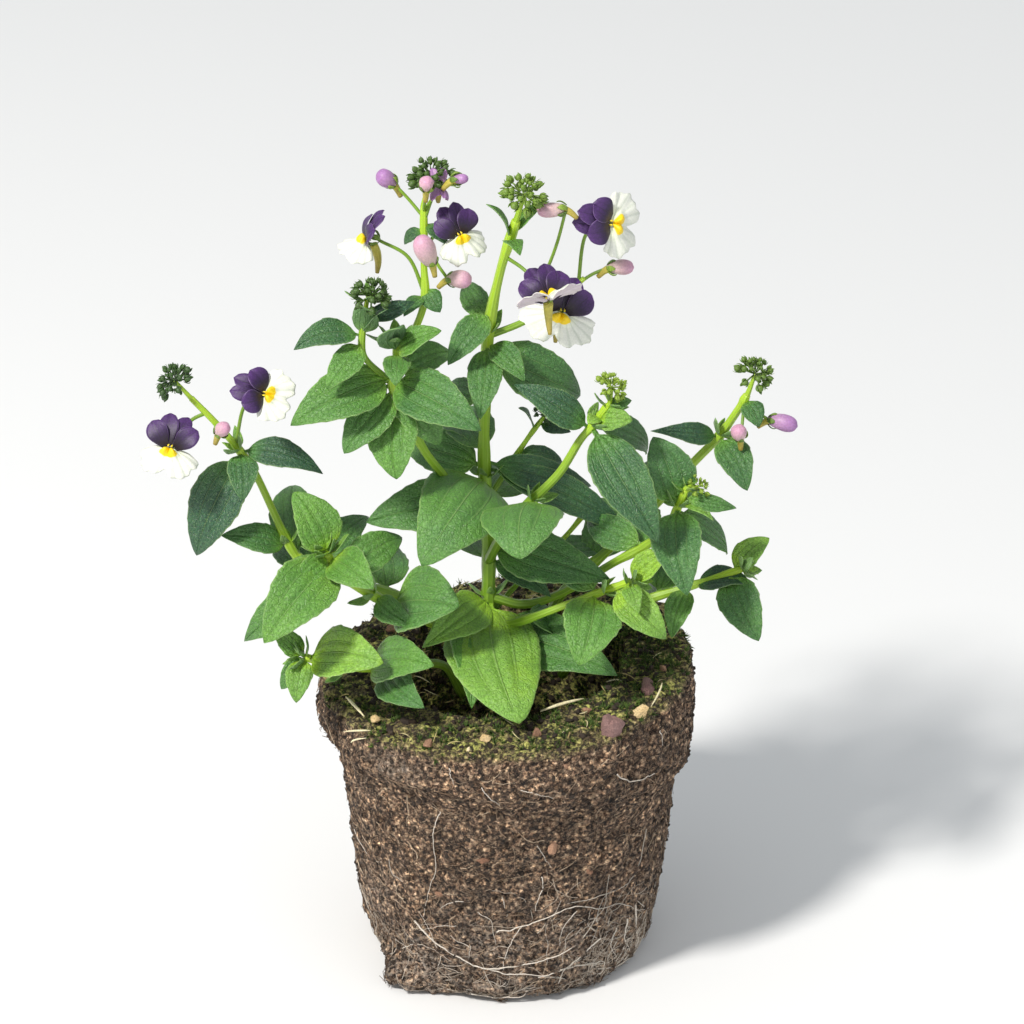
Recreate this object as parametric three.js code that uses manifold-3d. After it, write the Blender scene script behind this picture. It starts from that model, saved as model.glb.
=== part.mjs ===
// A young nemesia lifted out of its nursery pot: leafy shoots, flowers and buds on a pot-shaped ball of peat.
// Millimetres, +Z up. The origin is the middle of the flat underside of the root ball, the viewer is on -Y.
import * as THREE from 'three';
import { mergeVertices } from 'three/addons/utils/BufferGeometryUtils.js';
import Module from 'manifold-3d';

const wasm = await Module();
wasm.setup();

// Driving dimensions.
const GAP = 0.35; // air left between two neighbouring pieces
const LEAF_THICKNESS = 0.7;
const PETAL_THICKNESS = 0.6;
const SPUR_DROP = 7.0; // how far the end of a spur hangs below the throat
const STEM_SIDES = 7;
const SOIL_HEIGHT = 82;
const SOIL_SLOPE = 0.08; // rise of the soil to the right, mm per mm
const COLLAR_RADIUS = 49;
const FOOT_RADIUS = 33;
const WALL_START = 6; // mm outside the foot where the wall is fully shaped
const BUMP_START = 20; // radius from which the lump at the foot begins
// Places where the peat has crumbled away (depth under 0) or pushes out: turn in degrees, height and
// half height in mm, depth in mm, and how narrow the place is around the ball.
const HOLLOW = { turn: 204, height: 7, half: 6, depth: -3, narrow: 14 };
const LUMP = { turn: 227, height: 2, half: 5, depth: 7, narrow: 40 };
const COLLAR_EDGE = { height: 61, half: 6, right: -4.5, back: -4.0 }; // dip of the collar's lower edge, mm
const LEAF_STALK = 0.07; // share of a leaf's length that is stalk
const LEAF_STALK_WIDTH = 0.09; // width of the stalk as a share of the blade's
const LEAF_WIDEST = 0.36; // where along its length a blade is widest
const LEAF_FULLNESS = 0.62; // under 1 makes the sides of a blade rounder

// Each shoot is a line of points from its root to its tip, with the radius at both ends.
const SHOOTS = {
  main: {
    radius: [1.6, 1.0],
    points: [[-4, 0, 74], [-5, 0, 100], [-5, 0, 119], [-6, 0, 135], [-6, -2, 154], [-5, -5, 178],
      [-2, -8, 197], [2, -12, 213]],
  },
  side: {
    radius: [1.0, 0.7],
    points: [[-5, -5, 178], [4, -3, 181], [12, -2, 186], [19, -3, 193]],
  },
  a: {
    radius: [1.3, 0.8],
    points: [[-6, 0, 119], [-11, -4, 128], [-15, -8, 138], [-21, -12, 149], [-26, -14, 161],
      [-29, -14, 170], [-25, -10, 178], [-21, -7, 188], [-21, -4, 198], [-21, -1, 212]],
  },
  b: {
    radius: [1.3, 0.8],
    points: [[-5, -1, 112], [0, -12, 128], [6, -16, 137], [13, -16, 145], [18, -16, 154],
      [21, -16, 158], [25, -16, 164]],
  },
  c: {
    radius: [1.2, 0.8],
    points: [[-5, 0, 93], [0, -8, 97], [8, -14, 103], [17, -16, 108], [24, -18, 112], [31, -20, 116]],
  },
  d: {
    radius: [1.2, 0.8],
    points: [[14, 4, 75], [22, 0, 92], [32, -5, 101], [44, -6, 106], [52, -6, 109], [60, -6, 112]],
  },
  e: {
    radius: [1.3, 0.8],
    points: [[-5, 0, 101], [4, -1, 99], [14, -4, 104], [27, -10, 116], [35, -12, 122],
      [40, -14, 128], [43, -14, 134], [45, -14, 139]],
  },
  f: {
    radius: [1.4, 0.9],
    points: [[6, 10, 75], [12, 11, 92], [18, 10, 101], [25, 10, 108], [34, 10, 118], [48, 8, 136],
      [54, 8, 143], [59, 8, 151], [61, 8, 155]],
  },
  g: {
    radius: [1.4, 0.9],
    points: [[-5, 0, 88], [-14, -8, 94], [-23, -13, 102], [-34, -17, 110], [-41, -19, 116],
      [-46, -20, 124]],
  },
  h: {
    radius: [1.4, 0.8],
    points: [[-8, 6, 75], [-13, 4, 90], [-28, -1, 101], [-43, -4, 108], [-52, -6, 114],
      [-56, -6, 119], [-64, -6, 139], [-68, -6, 146], [-74, -6, 154], [-80, -6, 161]],
  },
  r: {
    radius: [1.2, 0.8],
    points: [[-12, -6, 75], [-17, -10, 86], [-28, -16, 89], [-41, -20, 91], [-52, -22, 95]],
  },
};

// A leaf grows from its shoot at the numbered point (at) to its tip. Arch lifts the midrib, fold lowers the
// edges, and roll turns the blade about its own length, in degrees.
const LEAVES = [
  { shoot: 'main', at: 1, tip: [2.8, -42, 88], width: 25, arch: 0.05, fold: 0.1 },
  { shoot: 'main', at: 0.62, tip: [27, -22, 91], width: 17, arch: 0.1, roll: 38 },
  { shoot: 'main', at: 1.9, tip: [26, -17, 115], width: 14, arch: 0.1, roll: 42 },
  { shoot: 'main', at: 3, tip: [-21, -35, 130], width: 23, arch: 0.22, fold: 0.18, roll: -22 },
  { shoot: 'main', at: 2.6, tip: [-36, -8, 127], width: 15, arch: 0.14, roll: -40 },
  { shoot: 'main', at: 4.9, tip: [-7, -21, 163], width: 9, arch: 0.08 },
  { shoot: 'main', at: 5.35, tip: [-15, -15, 175], width: 8, arch: 0.12, roll: -35 },
  { shoot: 'main', at: 4.8, tip: [19, 4, 157], width: 15, arch: 0.12, roll: 52 },
  { shoot: 'a', at: 5, tip: [-7, -33, 166], width: 14, arch: 0.14, roll: 38 },
  { shoot: 'a', at: 5.1, tip: [-54, -26, 164], width: 14, arch: 0.14, roll: -40 },
  { shoot: 'a', at: 4.7, tip: [-41, -26, 156], width: 11, arch: 0.1, roll: -28 },
  { shoot: 'a', at: 4.4, tip: [-28, -27, 149], width: 13, arch: 0.1, roll: 6 },
  { shoot: 'b', at: 2, tip: [3, -40, 134], width: 21, arch: 0.2, fold: 0.16, roll: 4 },
  { shoot: 'b', at: 5, tip: [38, -34, 135], width: 14, arch: 0.1, roll: 24 },
  { shoot: 'b', at: 4.9, tip: [2, -16, 170], width: 9, arch: 0.16, roll: -46 },
  { shoot: 'c', at: 3.7, tip: [18, -36, 101], width: 15, arch: 0.14, roll: -10 },
  { shoot: 'c', at: 4.4, tip: [40, -28, 104], width: 10, arch: 0.12, roll: 38 },
  { shoot: 'd', at: 4.6, tip: [64, -20, 99], width: 11, arch: 0.14, roll: 22 },
  { shoot: 'e', at: 6, tip: [45, -35, 121], width: 13, arch: 0.12, roll: 4 },
  { shoot: 'e', at: 6.1, tip: [37, -8, 151], width: 13, arch: 0.14, roll: -28 },
  { shoot: 'f', at: 6, tip: [61, -4, 134], width: 9, arch: 0.12, roll: 24 },
  { shoot: 'g', at: 4.9, tip: [-54, -15, 139], width: 12, arch: 0.12, roll: -36 },
  { shoot: 'g', at: 4.7, tip: [-61, -42, 111], width: 16, arch: 0.14, roll: -28 },
  { shoot: 'g', at: 4.8, tip: [-34, -36, 123], width: 11, arch: 0.12, roll: 36 },
  { shoot: 'g', at: 4.4, tip: [-68, -22, 100], width: 12, arch: 0.12, roll: -44 },
  { shoot: 'g', at: 4.2, tip: [-27, -7, 122], width: 10, arch: 0.12, roll: 40 },
  { shoot: 'g', at: 2.6, tip: [-13, -29, 114], width: 19, arch: 0.1, roll: 44 },
  { shoot: 'r', at: 3.9, tip: [-32, -35, 101], width: 14, arch: 0.14, roll: 46 },
  { shoot: 'r', at: 2.6, tip: [-20, -36, 101], width: 13, arch: 0.1, roll: 50 },
  { shoot: 'h', at: 5, tip: [-73, -10, 124], width: 8, arch: 0.14, roll: -48 },
  { shoot: 'h', at: 7, tip: [-47, -10, 142], width: 8, arch: 0.2, roll: 44 },
  { shoot: 'h', at: 6.9, tip: [-80, -12, 119], width: 14, arch: 0.1, roll: -44 },
];

// A flower sits at its throat (at), looks along face, and hangs from the numbered point of its shoot. Roll
// turns it about face, in degrees. Lip is the angle by which the white lower lip stands out from the face.
// Breadth widens the lip, and gather under 1 draws the upper petals together.
const FLOWERS = [
  {
    name: 'flower_1',
    shoot: 'main',
    from: 6.3,
    at: [10, -21, 195.5],
    face: [0.12, -0.8, 0.6],
    roll: 12,
    lip: 100,
    breadth: 1,
    gather: 0.72,
    scale: 1,
  },
  {
    name: 'flower_2',
    shoot: 'side',
    from: 1.6,
    at: [13.3, -11, 187.5],
    face: [0.2, -0.9, 0.3],
    roll: -20,
    lip: 22,
    breadth: 1,
    gather: 0.85,
    scale: 1,
  },
  {
    name: 'flower_3',
    shoot: 'side',
    from: 2.8,
    at: [25.5, -9, 211],
    face: [0.62, -0.72, 0.3],
    roll: 66,
    lip: 14,
    breadth: 0.85,
    gather: 0.5,
    scale: 1.05,
  },
  {
    name: 'flower_4',
    shoot: 'a',
    from: 8.2,
    at: [-12, -4, 205.4],
    face: [0.3, -0.9, 0.3],
    roll: 16,
    lip: 35,
    breadth: 0.76,
    gather: 0.72,
    scale: 0.86,
  },
  {
    name: 'flower_5',
    shoot: 'a',
    from: 7.2,
    at: [-35, -2, 202.5],
    face: [-0.95, -0.15, 0.25],
    roll: 0,
    lip: 80,
    breadth: 0.75,
    gather: 0.7,
    scale: 0.92,
  },
  {
    name: 'flower_6',
    shoot: 'h',
    from: 8.4,
    at: [-85, -16, 152],
    face: [-0.15, -0.85, 0.5],
    roll: -8,
    lip: 30,
    breadth: 0.85,
    gather: 0.9,
    scale: 0.92,
  },
  {
    name: 'flower_7',
    shoot: 'h',
    from: 7.2,
    at: [-61, -14, 166],
    face: [0.5, -0.7, 0.45],
    roll: 55,
    lip: 48,
    breadth: 0.85,
    gather: 0.7,
    scale: 0.9,
  },
];

// Upper petals of one flower: root and tip across the face, and width.
const UPPER_PETALS = [
  { root: [-0.6, 0.4], tip: [-2.9, 9.4], width: 5.4, lean: -10 },
  { root: [0.6, 0.4], tip: [2.9, 9.4], width: 5.4, lean: -10 },
  { root: [-1.2, 0], tip: [-7.3, 6.3], width: 6.3, lean: 4 },
  { root: [1.2, 0], tip: [7.3, 6.3], width: 6.3, lean: 4 },
];
const LIP_LOBES = [
  { root: [-1.6, -0.6], tip: [-6, -7.6], width: 10.5 },
  { root: [1.6, -0.6], tip: [6, -7.6], width: 10.5 },
];

// Large coloured buds: middle, half size across and along, and the way the tip points.
const BUDS = [
  {
    name: 'bud_pink_a',
    shoot: 'a',
    from: 8.0,
    at: [-20, -15, 206],
    half: [3.2, 5.0],
    axis: [-0.3, -0.25, 0.9],
  },
  {
    name: 'bud_pink_side',
    shoot: 'side',
    from: 2.7,
    at: [28, -3, 196],
    half: [2.3, 3.6],
    axis: [1, -0.2, 0.1],
  },
  {
    name: 'bud_violet_f',
    shoot: 'f',
    from: 7.5,
    at: [70, 6, 148],
    half: [2.6, 4.2],
    axis: [0.9, -0.3, -0.1],
  },
];

// Heads of small green buds at the ends of the flowering shoots: middle and radius of the head.
const CLUSTERS = [
  { name: 'bud_head_main', shoot: 'main', at: [4, -14, 221], radius: 6.0 },
  { name: 'bud_head_a', shoot: 'a', at: [-19, 1, 219], radius: 6.0 },
  { name: 'bud_head_b', shoot: 'b', at: [26, -16, 169], radius: 4.4 },
  { name: 'bud_head_f', shoot: 'f', at: [63, 8, 161], radius: 5.4 },
  { name: 'bud_head_h', shoot: 'h', at: [-84, -6, 166], radius: 5.4 },
];

// Inside a head, as shares of its radius: the core, each bud, the height of the top bud and the rings of buds.
const HEAD_CORE = 0.62;
const HEAD_BUD = 0.36;
const HEAD_TOP = 0.68;
const HEAD_RINGS = [
  { count: 5, out: 0.64, rise: -0.12, turn: 0 },
  { count: 3, out: 0.42, rise: 0.48, turn: 0.5 },
];

const COLOURS = {
  leaf: 0x5f9a45,
  shoot: 0x86b04a,
  petal: 0x4b2a70,
  bud: 0xd3a6bd,
  head: 0x7fa04c,
  peat: 0x5c4638,
};

const vec = (xyz) => new THREE.Vector3(...xyz);
const radians = THREE.MathUtils.degToRad;

// Turns a closed three.js shape into a solid, with every seam joined and no empty faces.
function toSolid(geometry) {
  const bare = geometry.clone();
  bare.deleteAttribute('uv');
  bare.deleteAttribute('normal');
  const merged = mergeVertices(bare, 1e-3);
  const place = merged.getAttribute('position');
  const corner = [new THREE.Vector3(), new THREE.Vector3(), new THREE.Vector3()];
  const faces = [];
  let volume = 0;
  for (let i = 0; i < merged.index.count; i += 3) {
    const ids = [0, 1, 2].map((k) => merged.index.getX(i + k));
    if (ids[0] === ids[1] || ids[1] === ids[2] || ids[2] === ids[0]) continue;
    corner.forEach((point, k) => point.fromBufferAttribute(place, ids[k]));
    volume += corner[0].dot(corner[1].clone().cross(corner[2]));
    faces.push(ids);
  }
  const triangles = faces.flatMap((ids) => (volume < 0 ? [ids[0], ids[2], ids[1]] : ids));
  return new wasm.Manifold(new wasm.Mesh({
    numProp: 3,
    vertProperties: new Float32Array(place.array),
    triVerts: new Uint32Array(triangles),
  }));
}

// Keeps the largest body when a cut has parted a solid.
function largest(solid) {
  const bodies = solid.decompose();
  return bodies.reduce((best, body) => (body.volume() > best.volume() ? body : best));
}

// Makes the mesh of a solid, with its own material, standing at the given place.
function toMesh(name, solid, colour, place) {
  const { vertProperties, triVerts } = solid.getMesh();
  const geometry = new THREE.BufferGeometry();
  geometry.setAttribute('position', new THREE.BufferAttribute(new Float32Array(vertProperties), 3));
  geometry.setIndex(new THREE.BufferAttribute(new Uint32Array(triVerts), 1));
  geometry.translate(-place.x, -place.y, -place.z);
  const material = new THREE.MeshStandardMaterial({ color: colour, roughness: 0.7, metalness: 0 });
  const mesh = new THREE.Mesh(geometry, material);
  mesh.name = name;
  mesh.position.copy(place);
  return mesh;
}

function curveOf(points) {
  return new THREE.CatmullRomCurve3(points.map(vec), false, 'catmullrom', 0.5);
}

// Bends a cylinder along a curve. Extra makes it thicker, and longer at both ends.
function stemSolid(curve, radius, steps, sides = STEM_SIDES, extra = 0) {
  const geometry = new THREE.CylinderGeometry(1, 1, 1, sides, steps);
  const place = geometry.getAttribute('position');
  const rings = [];
  let across = new THREE.Vector3(0, 1, 0);
  for (let i = 0; i <= steps; i += 1) {
    const t = i / steps;
    const along = curve.getTangent(t);
    across = across.clone().addScaledVector(along, -across.dot(along)).normalize();
    const middle = curve.getPoint(t);
    if (i === 0) middle.addScaledVector(along, -extra);
    if (i === steps) middle.addScaledVector(along, extra);
    const wide = THREE.MathUtils.lerp(radius[0], radius[1], t) + extra;
    rings.push({ middle, across, side: along.clone().cross(across), wide });
  }
  for (let i = 0; i < place.count; i += 1) {
    const ring = rings[Math.round((place.getY(i) + 0.5) * steps)];
    const point = ring.middle.clone();
    point.addScaledVector(ring.across, place.getX(i) * ring.wide);
    point.addScaledVector(ring.side, place.getZ(i) * ring.wide);
    place.setXYZ(i, point.x, point.y, point.z);
  }
  return toSolid(geometry);
}

// Bends a flat box into a blade from base (0) to tip (1). Shape gives the half width along the way.
function bladeSolid({ base, tip, normal, width, thickness, arch = 0, fold = 0, steps = 6, shape }) {
  const geometry = new THREE.BoxGeometry(1, 1, 1, steps, 2, 1);
  const place = geometry.getAttribute('position');
  const chord = tip.clone().sub(base);
  const along = chord.clone().normalize();
  const up = normal.clone().addScaledVector(along, -normal.dot(along)).normalize();
  const side = up.clone().cross(along);
  for (let i = 0; i < place.count; i += 1) {
    const s = place.getX(i) + 0.5;
    const half = (width / 2) * shape(s);
    const across = place.getY(i) * 2 * half;
    const rise = arch * chord.length() * 4 * s * (1 - s) - fold * Math.abs(across);
    const point = base.clone().addScaledVector(chord, s);
    point.addScaledVector(side, across);
    point.addScaledVector(up, rise + place.getZ(i) * thickness);
    place.setXYZ(i, point.x, point.y, point.z);
  }
  return toSolid(geometry);
}

// Half width of a leaf along its length: a short narrow stalk, a rounded base and a pointed tip.
function leafShape(s) {
  const blade = Math.max(0, (s - LEAF_STALK) / (1 - LEAF_STALK));
  const power = Math.log(0.5) / Math.log(LEAF_WIDEST);
  return Math.max(LEAF_STALK_WIDTH, Math.sin(Math.PI * blade ** power) ** LEAF_FULLNESS);
}

// Half width of a petal: narrow at the throat, broad and rounded at its outer end.
function petalShape(s) {
  return Math.max(0.3, Math.sin(Math.PI * (0.08 + 0.8 * s)) ** 0.8);
}

const curves = {};
const stems = {};
const clearances = {};
const stemPieces = {};

for (const [name, shoot] of Object.entries(SHOOTS)) {
  const curve = curveOf(shoot.points);
  const steps = 2 * (shoot.points.length - 1);
  curves[name] = curve;
  stems[name] = stemSolid(curve, shoot.radius, steps);
  clearances[name] = stemSolid(curve, shoot.radius, steps, STEM_SIDES, GAP);
}

// A side shoot keeps clear of the shoots made before it.
const earlier = [];
for (const name of Object.keys(SHOOTS)) {
  stemPieces[name] = earlier.reduce((solid, other) => solid.subtract(clearances[other]), stems[name]);
  stemPieces[name] = largest(stemPieces[name]);
  earlier.push(name);
}

const clearOfStems = (solid) => largest(
  Object.values(clearances).reduce((rest, stem) => rest.subtract(stem), solid),
);

const pointOf = (shoot, at) => curves[shoot].getPoint(at / (SHOOTS[shoot].points.length - 1));

function radiusOf(shoot, at) {
  const { radius, points } = SHOOTS[shoot];
  return THREE.MathUtils.lerp(radius[0], radius[1], at / (points.length - 1));
}

function leafPiece(leaf, name) {
  const centre = pointOf(leaf.shoot, leaf.at);
  const tip = vec(leaf.tip);
  const along = tip.clone().sub(centre).normalize();
  const base = centre.clone().addScaledVector(along, radiusOf(leaf.shoot, leaf.at) + GAP);
  const normal = new THREE.Vector3(0, 0, 1).addScaledVector(along, -along.z).normalize();
  normal.applyAxisAngle(along, radians(leaf.roll ?? 0));
  const blade = bladeSolid({ ...leaf, base, tip, normal, thickness: LEAF_THICKNESS, shape: leafShape });
  return toMesh(name, clearOfStems(blade), COLOURS.leaf, base);
}

// The axes of a flower: right and up across its face, out of it along face, turned by roll about face.
function flowerAxes(flower, roll) {
  const out = vec(flower.face).normalize();
  const right = new THREE.Vector3(0, 0, 1).cross(out).normalize();
  const up = out.clone().cross(right);
  right.applyAxisAngle(out, radians(roll));
  up.applyAxisAngle(out, radians(roll));
  return (x, y, z) => vec(flower.at)
    .addScaledVector(right, x * flower.scale)
    .addScaledVector(up, y * flower.scale)
    .addScaledVector(out, z * flower.scale);
}

// One petal: it starts near the throat and leans out of the face by lean degrees.
function petalSolid(local, out, { root, tip, width, lean }, scale) {
  const reach = Math.hypot(tip[0] - root[0], tip[1] - root[1]);
  const level = Math.cos(radians(lean));
  const end = local(
    root[0] + (tip[0] - root[0]) * level,
    root[1] + (tip[1] - root[1]) * level,
    reach * Math.sin(radians(lean)),
  );
  return bladeSolid({
    base: local(root[0] * 0.5, root[1] * 0.5, 0),
    tip: end,
    normal: out,
    width: width * scale,
    thickness: PETAL_THICKNESS,
    arch: 0.08,
    steps: 2,
    shape: petalShape,
  });
}

// Four violet upper petals, the two lobes of the pale lip, the spur behind and the stalk, grown as one piece.
function flowerPiece(flower) {
  const out = vec(flower.face).normalize();
  const local = flowerAxes(flower, flower.roll);
  const upright = flowerAxes(flower, 0);
  const upper = UPPER_PETALS.map(({ tip, ...rest }) => ({ ...rest, tip: [tip[0] * flower.gather, tip[1]] }));
  const lip = LIP_LOBES.map(({ root, tip, width }) => ({
    root,
    tip: [tip[0] * flower.breadth, tip[1]],
    width: width * flower.breadth,
    lean: flower.lip,
  }));
  const parts = [...upper, ...lip].map((petal) => petalSolid(local, out, petal, flower.scale));
  const spurTop = local(0, -0.4, -1.6);
  const spurEnd = spurTop.clone().addScaledVector(out, -2.4);
  spurEnd.z -= SPUR_DROP * flower.scale;
  const spur = new THREE.CatmullRomCurve3([
    local(0, 0.6, 0.6),
    spurTop,
    spurEnd,
  ]);
  parts.push(stemSolid(spur, [2.0, 0.8], 3, 5));
  const start = pointOf(flower.shoot, flower.from);
  const stalk = new THREE.CatmullRomCurve3([
    start,
    start.clone().lerp(upright(0, 3, -7), 0.55).add(new THREE.Vector3(0, 0, 1.5)),
    upright(0, 1.2, -2.6),
    upright(0, 0, -0.6),
  ]);
  parts.push(stemSolid(stalk, [0.6, 0.9], 5, 4));
  const whole = parts.reduce((sum, part) => sum.add(part));
  return toMesh(flower.name, clearOfStems(whole), COLOURS.petal, vec(flower.at));
}

// A closed bud: a smooth egg with a small spur under it, on its stalk.
function budPiece(bud) {
  const middle = vec(bud.at);
  const axis = vec(bud.axis).normalize();
  const egg = new THREE.SphereGeometry(1, 8, 6);
  egg.scale(bud.half[0], bud.half[1], bud.half[0]);
  egg.applyQuaternion(new THREE.Quaternion().setFromUnitVectors(new THREE.Vector3(0, 1, 0), axis));
  egg.translate(middle.x, middle.y, middle.z);
  const bottom = middle.clone().addScaledVector(axis, -bud.half[1] * 0.8);
  const start = pointOf(bud.shoot, bud.from);
  const spur = new THREE.CatmullRomCurve3([
    middle.clone().addScaledVector(axis, -bud.half[1] * 0.3),
    bottom.clone().add(new THREE.Vector3(0, -0.6, -1.6)),
    bottom.clone().addScaledVector(axis, -2.4).add(new THREE.Vector3(0, -0.8, -2.6)),
  ]);
  const stalk = new THREE.CatmullRomCurve3([
    start,
    start.clone().lerp(bottom, 0.6).addScaledVector(axis, -1.0),
    middle.clone().addScaledVector(axis, -bud.half[1] * 0.5),
  ]);
  const whole = toSolid(egg)
    .add(stemSolid(spur, [1.3, 0.7], 3, 6))
    .add(stemSolid(stalk, [0.6, 0.8], 4, 5));
  return toMesh(bud.name, clearOfStems(whole), COLOURS.bud, middle);
}

// A head of small buds: one core with a ring of buds low down, a ring higher up and one at the top.
function clusterPiece(head) {
  const middle = vec(head.at);
  const size = head.radius;
  const bead = (radius, x, y, z) => {
    const geometry = new THREE.IcosahedronGeometry(radius * size, 0);
    geometry.translate(middle.x + x * size, middle.y + y * size, middle.z + z * size);
    return toSolid(geometry);
  };
  let whole = bead(HEAD_CORE, 0, 0, 0).add(bead(HEAD_BUD, 0, 0, HEAD_TOP));
  for (const ring of HEAD_RINGS) {
    for (let i = 0; i < ring.count; i += 1) {
      const angle = (2 * Math.PI * (i + ring.turn)) / ring.count;
      whole = whole.add(bead(HEAD_BUD, ring.out * Math.cos(angle), ring.out * Math.sin(angle), ring.rise));
    }
  }
  return toMesh(head.name, clearOfStems(whole), COLOURS.head, middle);
}

// How far a hollow or lump moves the wall at the given turn and height.
function swell(place, turn, z) {
  const facing = Math.max(0, Math.cos(turn - radians(place.turn))) ** place.narrow;
  return place.depth * facing * Math.exp(-(((z - place.height) / place.half) ** 2));
}

// The peat keeps the shape of its pot: a tapered drum, a wider collar under the rim and a level foot.
function rootBall() {
  const profile = [[0, 0], [18, 0], [FOOT_RADIUS, 0], [36.5, 1.6], [38.5, 7], [39.6, 16], [40.6, 27],
    [41.8, 39], [43.2, 51], [44.6, 58], [47.6, 62], [COLLAR_RADIUS, 67], [COLLAR_RADIUS, 75], [47.6, 80.6],
    [43, SOIL_HEIGHT], [30, SOIL_HEIGHT], [15, SOIL_HEIGHT], [0, SOIL_HEIGHT]];
  const drum = new THREE.LatheGeometry(profile.map(([r, z]) => new THREE.Vector2(r, z)), 36);
  drum.rotateX(Math.PI / 2);
  const place = drum.getAttribute('position');
  for (let i = 0; i < place.count; i += 1) {
    const x = place.getX(i);
    const y = place.getY(i);
    const z = place.getZ(i);
    const reach = Math.hypot(x, y);
    const turn = reach > 1 ? Math.atan2(y, x) : 0;
    const wall = Math.min(1, Math.max(0, (reach - FOOT_RADIUS) / WALL_START));
    const height = z / SOIL_HEIGHT;
    // the wall wanders a little, as it was pressed by roots
    let grow = wall * (0.5 * Math.sin(3 * turn + 5 * height) + 0.35 * Math.sin(7 * turn - 9 * height));
    grow += wall * swell(HOLLOW, turn, z);
    const outer = Math.min(1, Math.max(0, (reach - BUMP_START) / (FOOT_RADIUS - BUMP_START)));
    grow += outer * swell(LUMP, turn, z);
    const scale = reach > 1 ? 1 + grow / reach : 1;
    // the lower edge of the collar dips to the right and to the back
    const edge = Math.exp(-(((z - COLLAR_EDGE.height) / COLLAR_EDGE.half) ** 2));
    const dip = edge * (COLLAR_EDGE.right * Math.cos(turn) + COLLAR_EDGE.back * Math.sin(turn));
    const tilt = SOIL_SLOPE * x * Math.max(0, height - 0.75) * 4;
    const mound = z > SOIL_HEIGHT - 1 ? 0.5 * Math.sin(x / 9) * Math.cos(y / 8) : 0;
    place.setXYZ(i, x * scale, y * scale, z + wall * dip + tilt + mound);
  }
  return toMesh('root_ball', clearOfStems(toSolid(drum)), COLOURS.peat, new THREE.Vector3());
}

const plant = new THREE.Group();
plant.name = 'nemesia';
plant.add(rootBall());

for (const [name, solid] of Object.entries(stemPieces)) {
  const shoot = new THREE.Group();
  shoot.name = `shoot_${name}`;
  const origin = vec(SHOOTS[name].points[0]);
  shoot.position.copy(origin);
  const pieces = [toMesh(`stem_${name}`, solid, COLOURS.shoot, origin)];
  LEAVES.filter((leaf) => leaf.shoot === name)
    .forEach((leaf, i) => pieces.push(leafPiece(leaf, `leaf_${name}_${i + 1}`)));
  FLOWERS.filter((flower) => flower.shoot === name).forEach((flower) => pieces.push(flowerPiece(flower)));
  BUDS.filter((bud) => bud.shoot === name).forEach((bud) => pieces.push(budPiece(bud)));
  CLUSTERS.filter((head) => head.shoot === name).forEach((head) => pieces.push(clusterPiece(head)));
  for (const piece of pieces) {
    piece.position.sub(origin);
    shoot.add(piece);
  }
  plant.add(shoot);
}

export default plant;
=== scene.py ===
"""The looks of a young nemesia that stands on its pot-shaped root ball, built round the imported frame.

Tables and shapes are in millimetres, in the frame's own axes, and become metres when a mesh is made.
"""

import math

import bpy
import numpy as np
from mathutils import Matrix, Vector, noise


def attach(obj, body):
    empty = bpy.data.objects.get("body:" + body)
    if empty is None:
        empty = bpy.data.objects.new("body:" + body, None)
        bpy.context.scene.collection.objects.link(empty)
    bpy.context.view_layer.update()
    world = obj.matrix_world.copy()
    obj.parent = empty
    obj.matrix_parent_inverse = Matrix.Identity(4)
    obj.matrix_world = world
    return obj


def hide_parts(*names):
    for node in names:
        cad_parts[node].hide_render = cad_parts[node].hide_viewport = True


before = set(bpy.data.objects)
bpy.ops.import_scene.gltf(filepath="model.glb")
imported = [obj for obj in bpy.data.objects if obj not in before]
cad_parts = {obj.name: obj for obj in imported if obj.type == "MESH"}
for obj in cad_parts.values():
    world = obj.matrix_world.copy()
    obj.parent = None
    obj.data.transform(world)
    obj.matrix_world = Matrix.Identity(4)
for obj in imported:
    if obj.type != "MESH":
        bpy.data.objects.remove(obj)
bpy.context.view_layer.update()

MM = 0.001
UP = np.array([0.0, 0.0, 1.0])
GOLDEN_TURN = math.pi * (3 - math.sqrt(5))

# Where the long veins run: at the midrib and twice on each side, as shares of a blade's half width.
VEIN_PLACES = (0.0, 0.42, 0.78)

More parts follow.
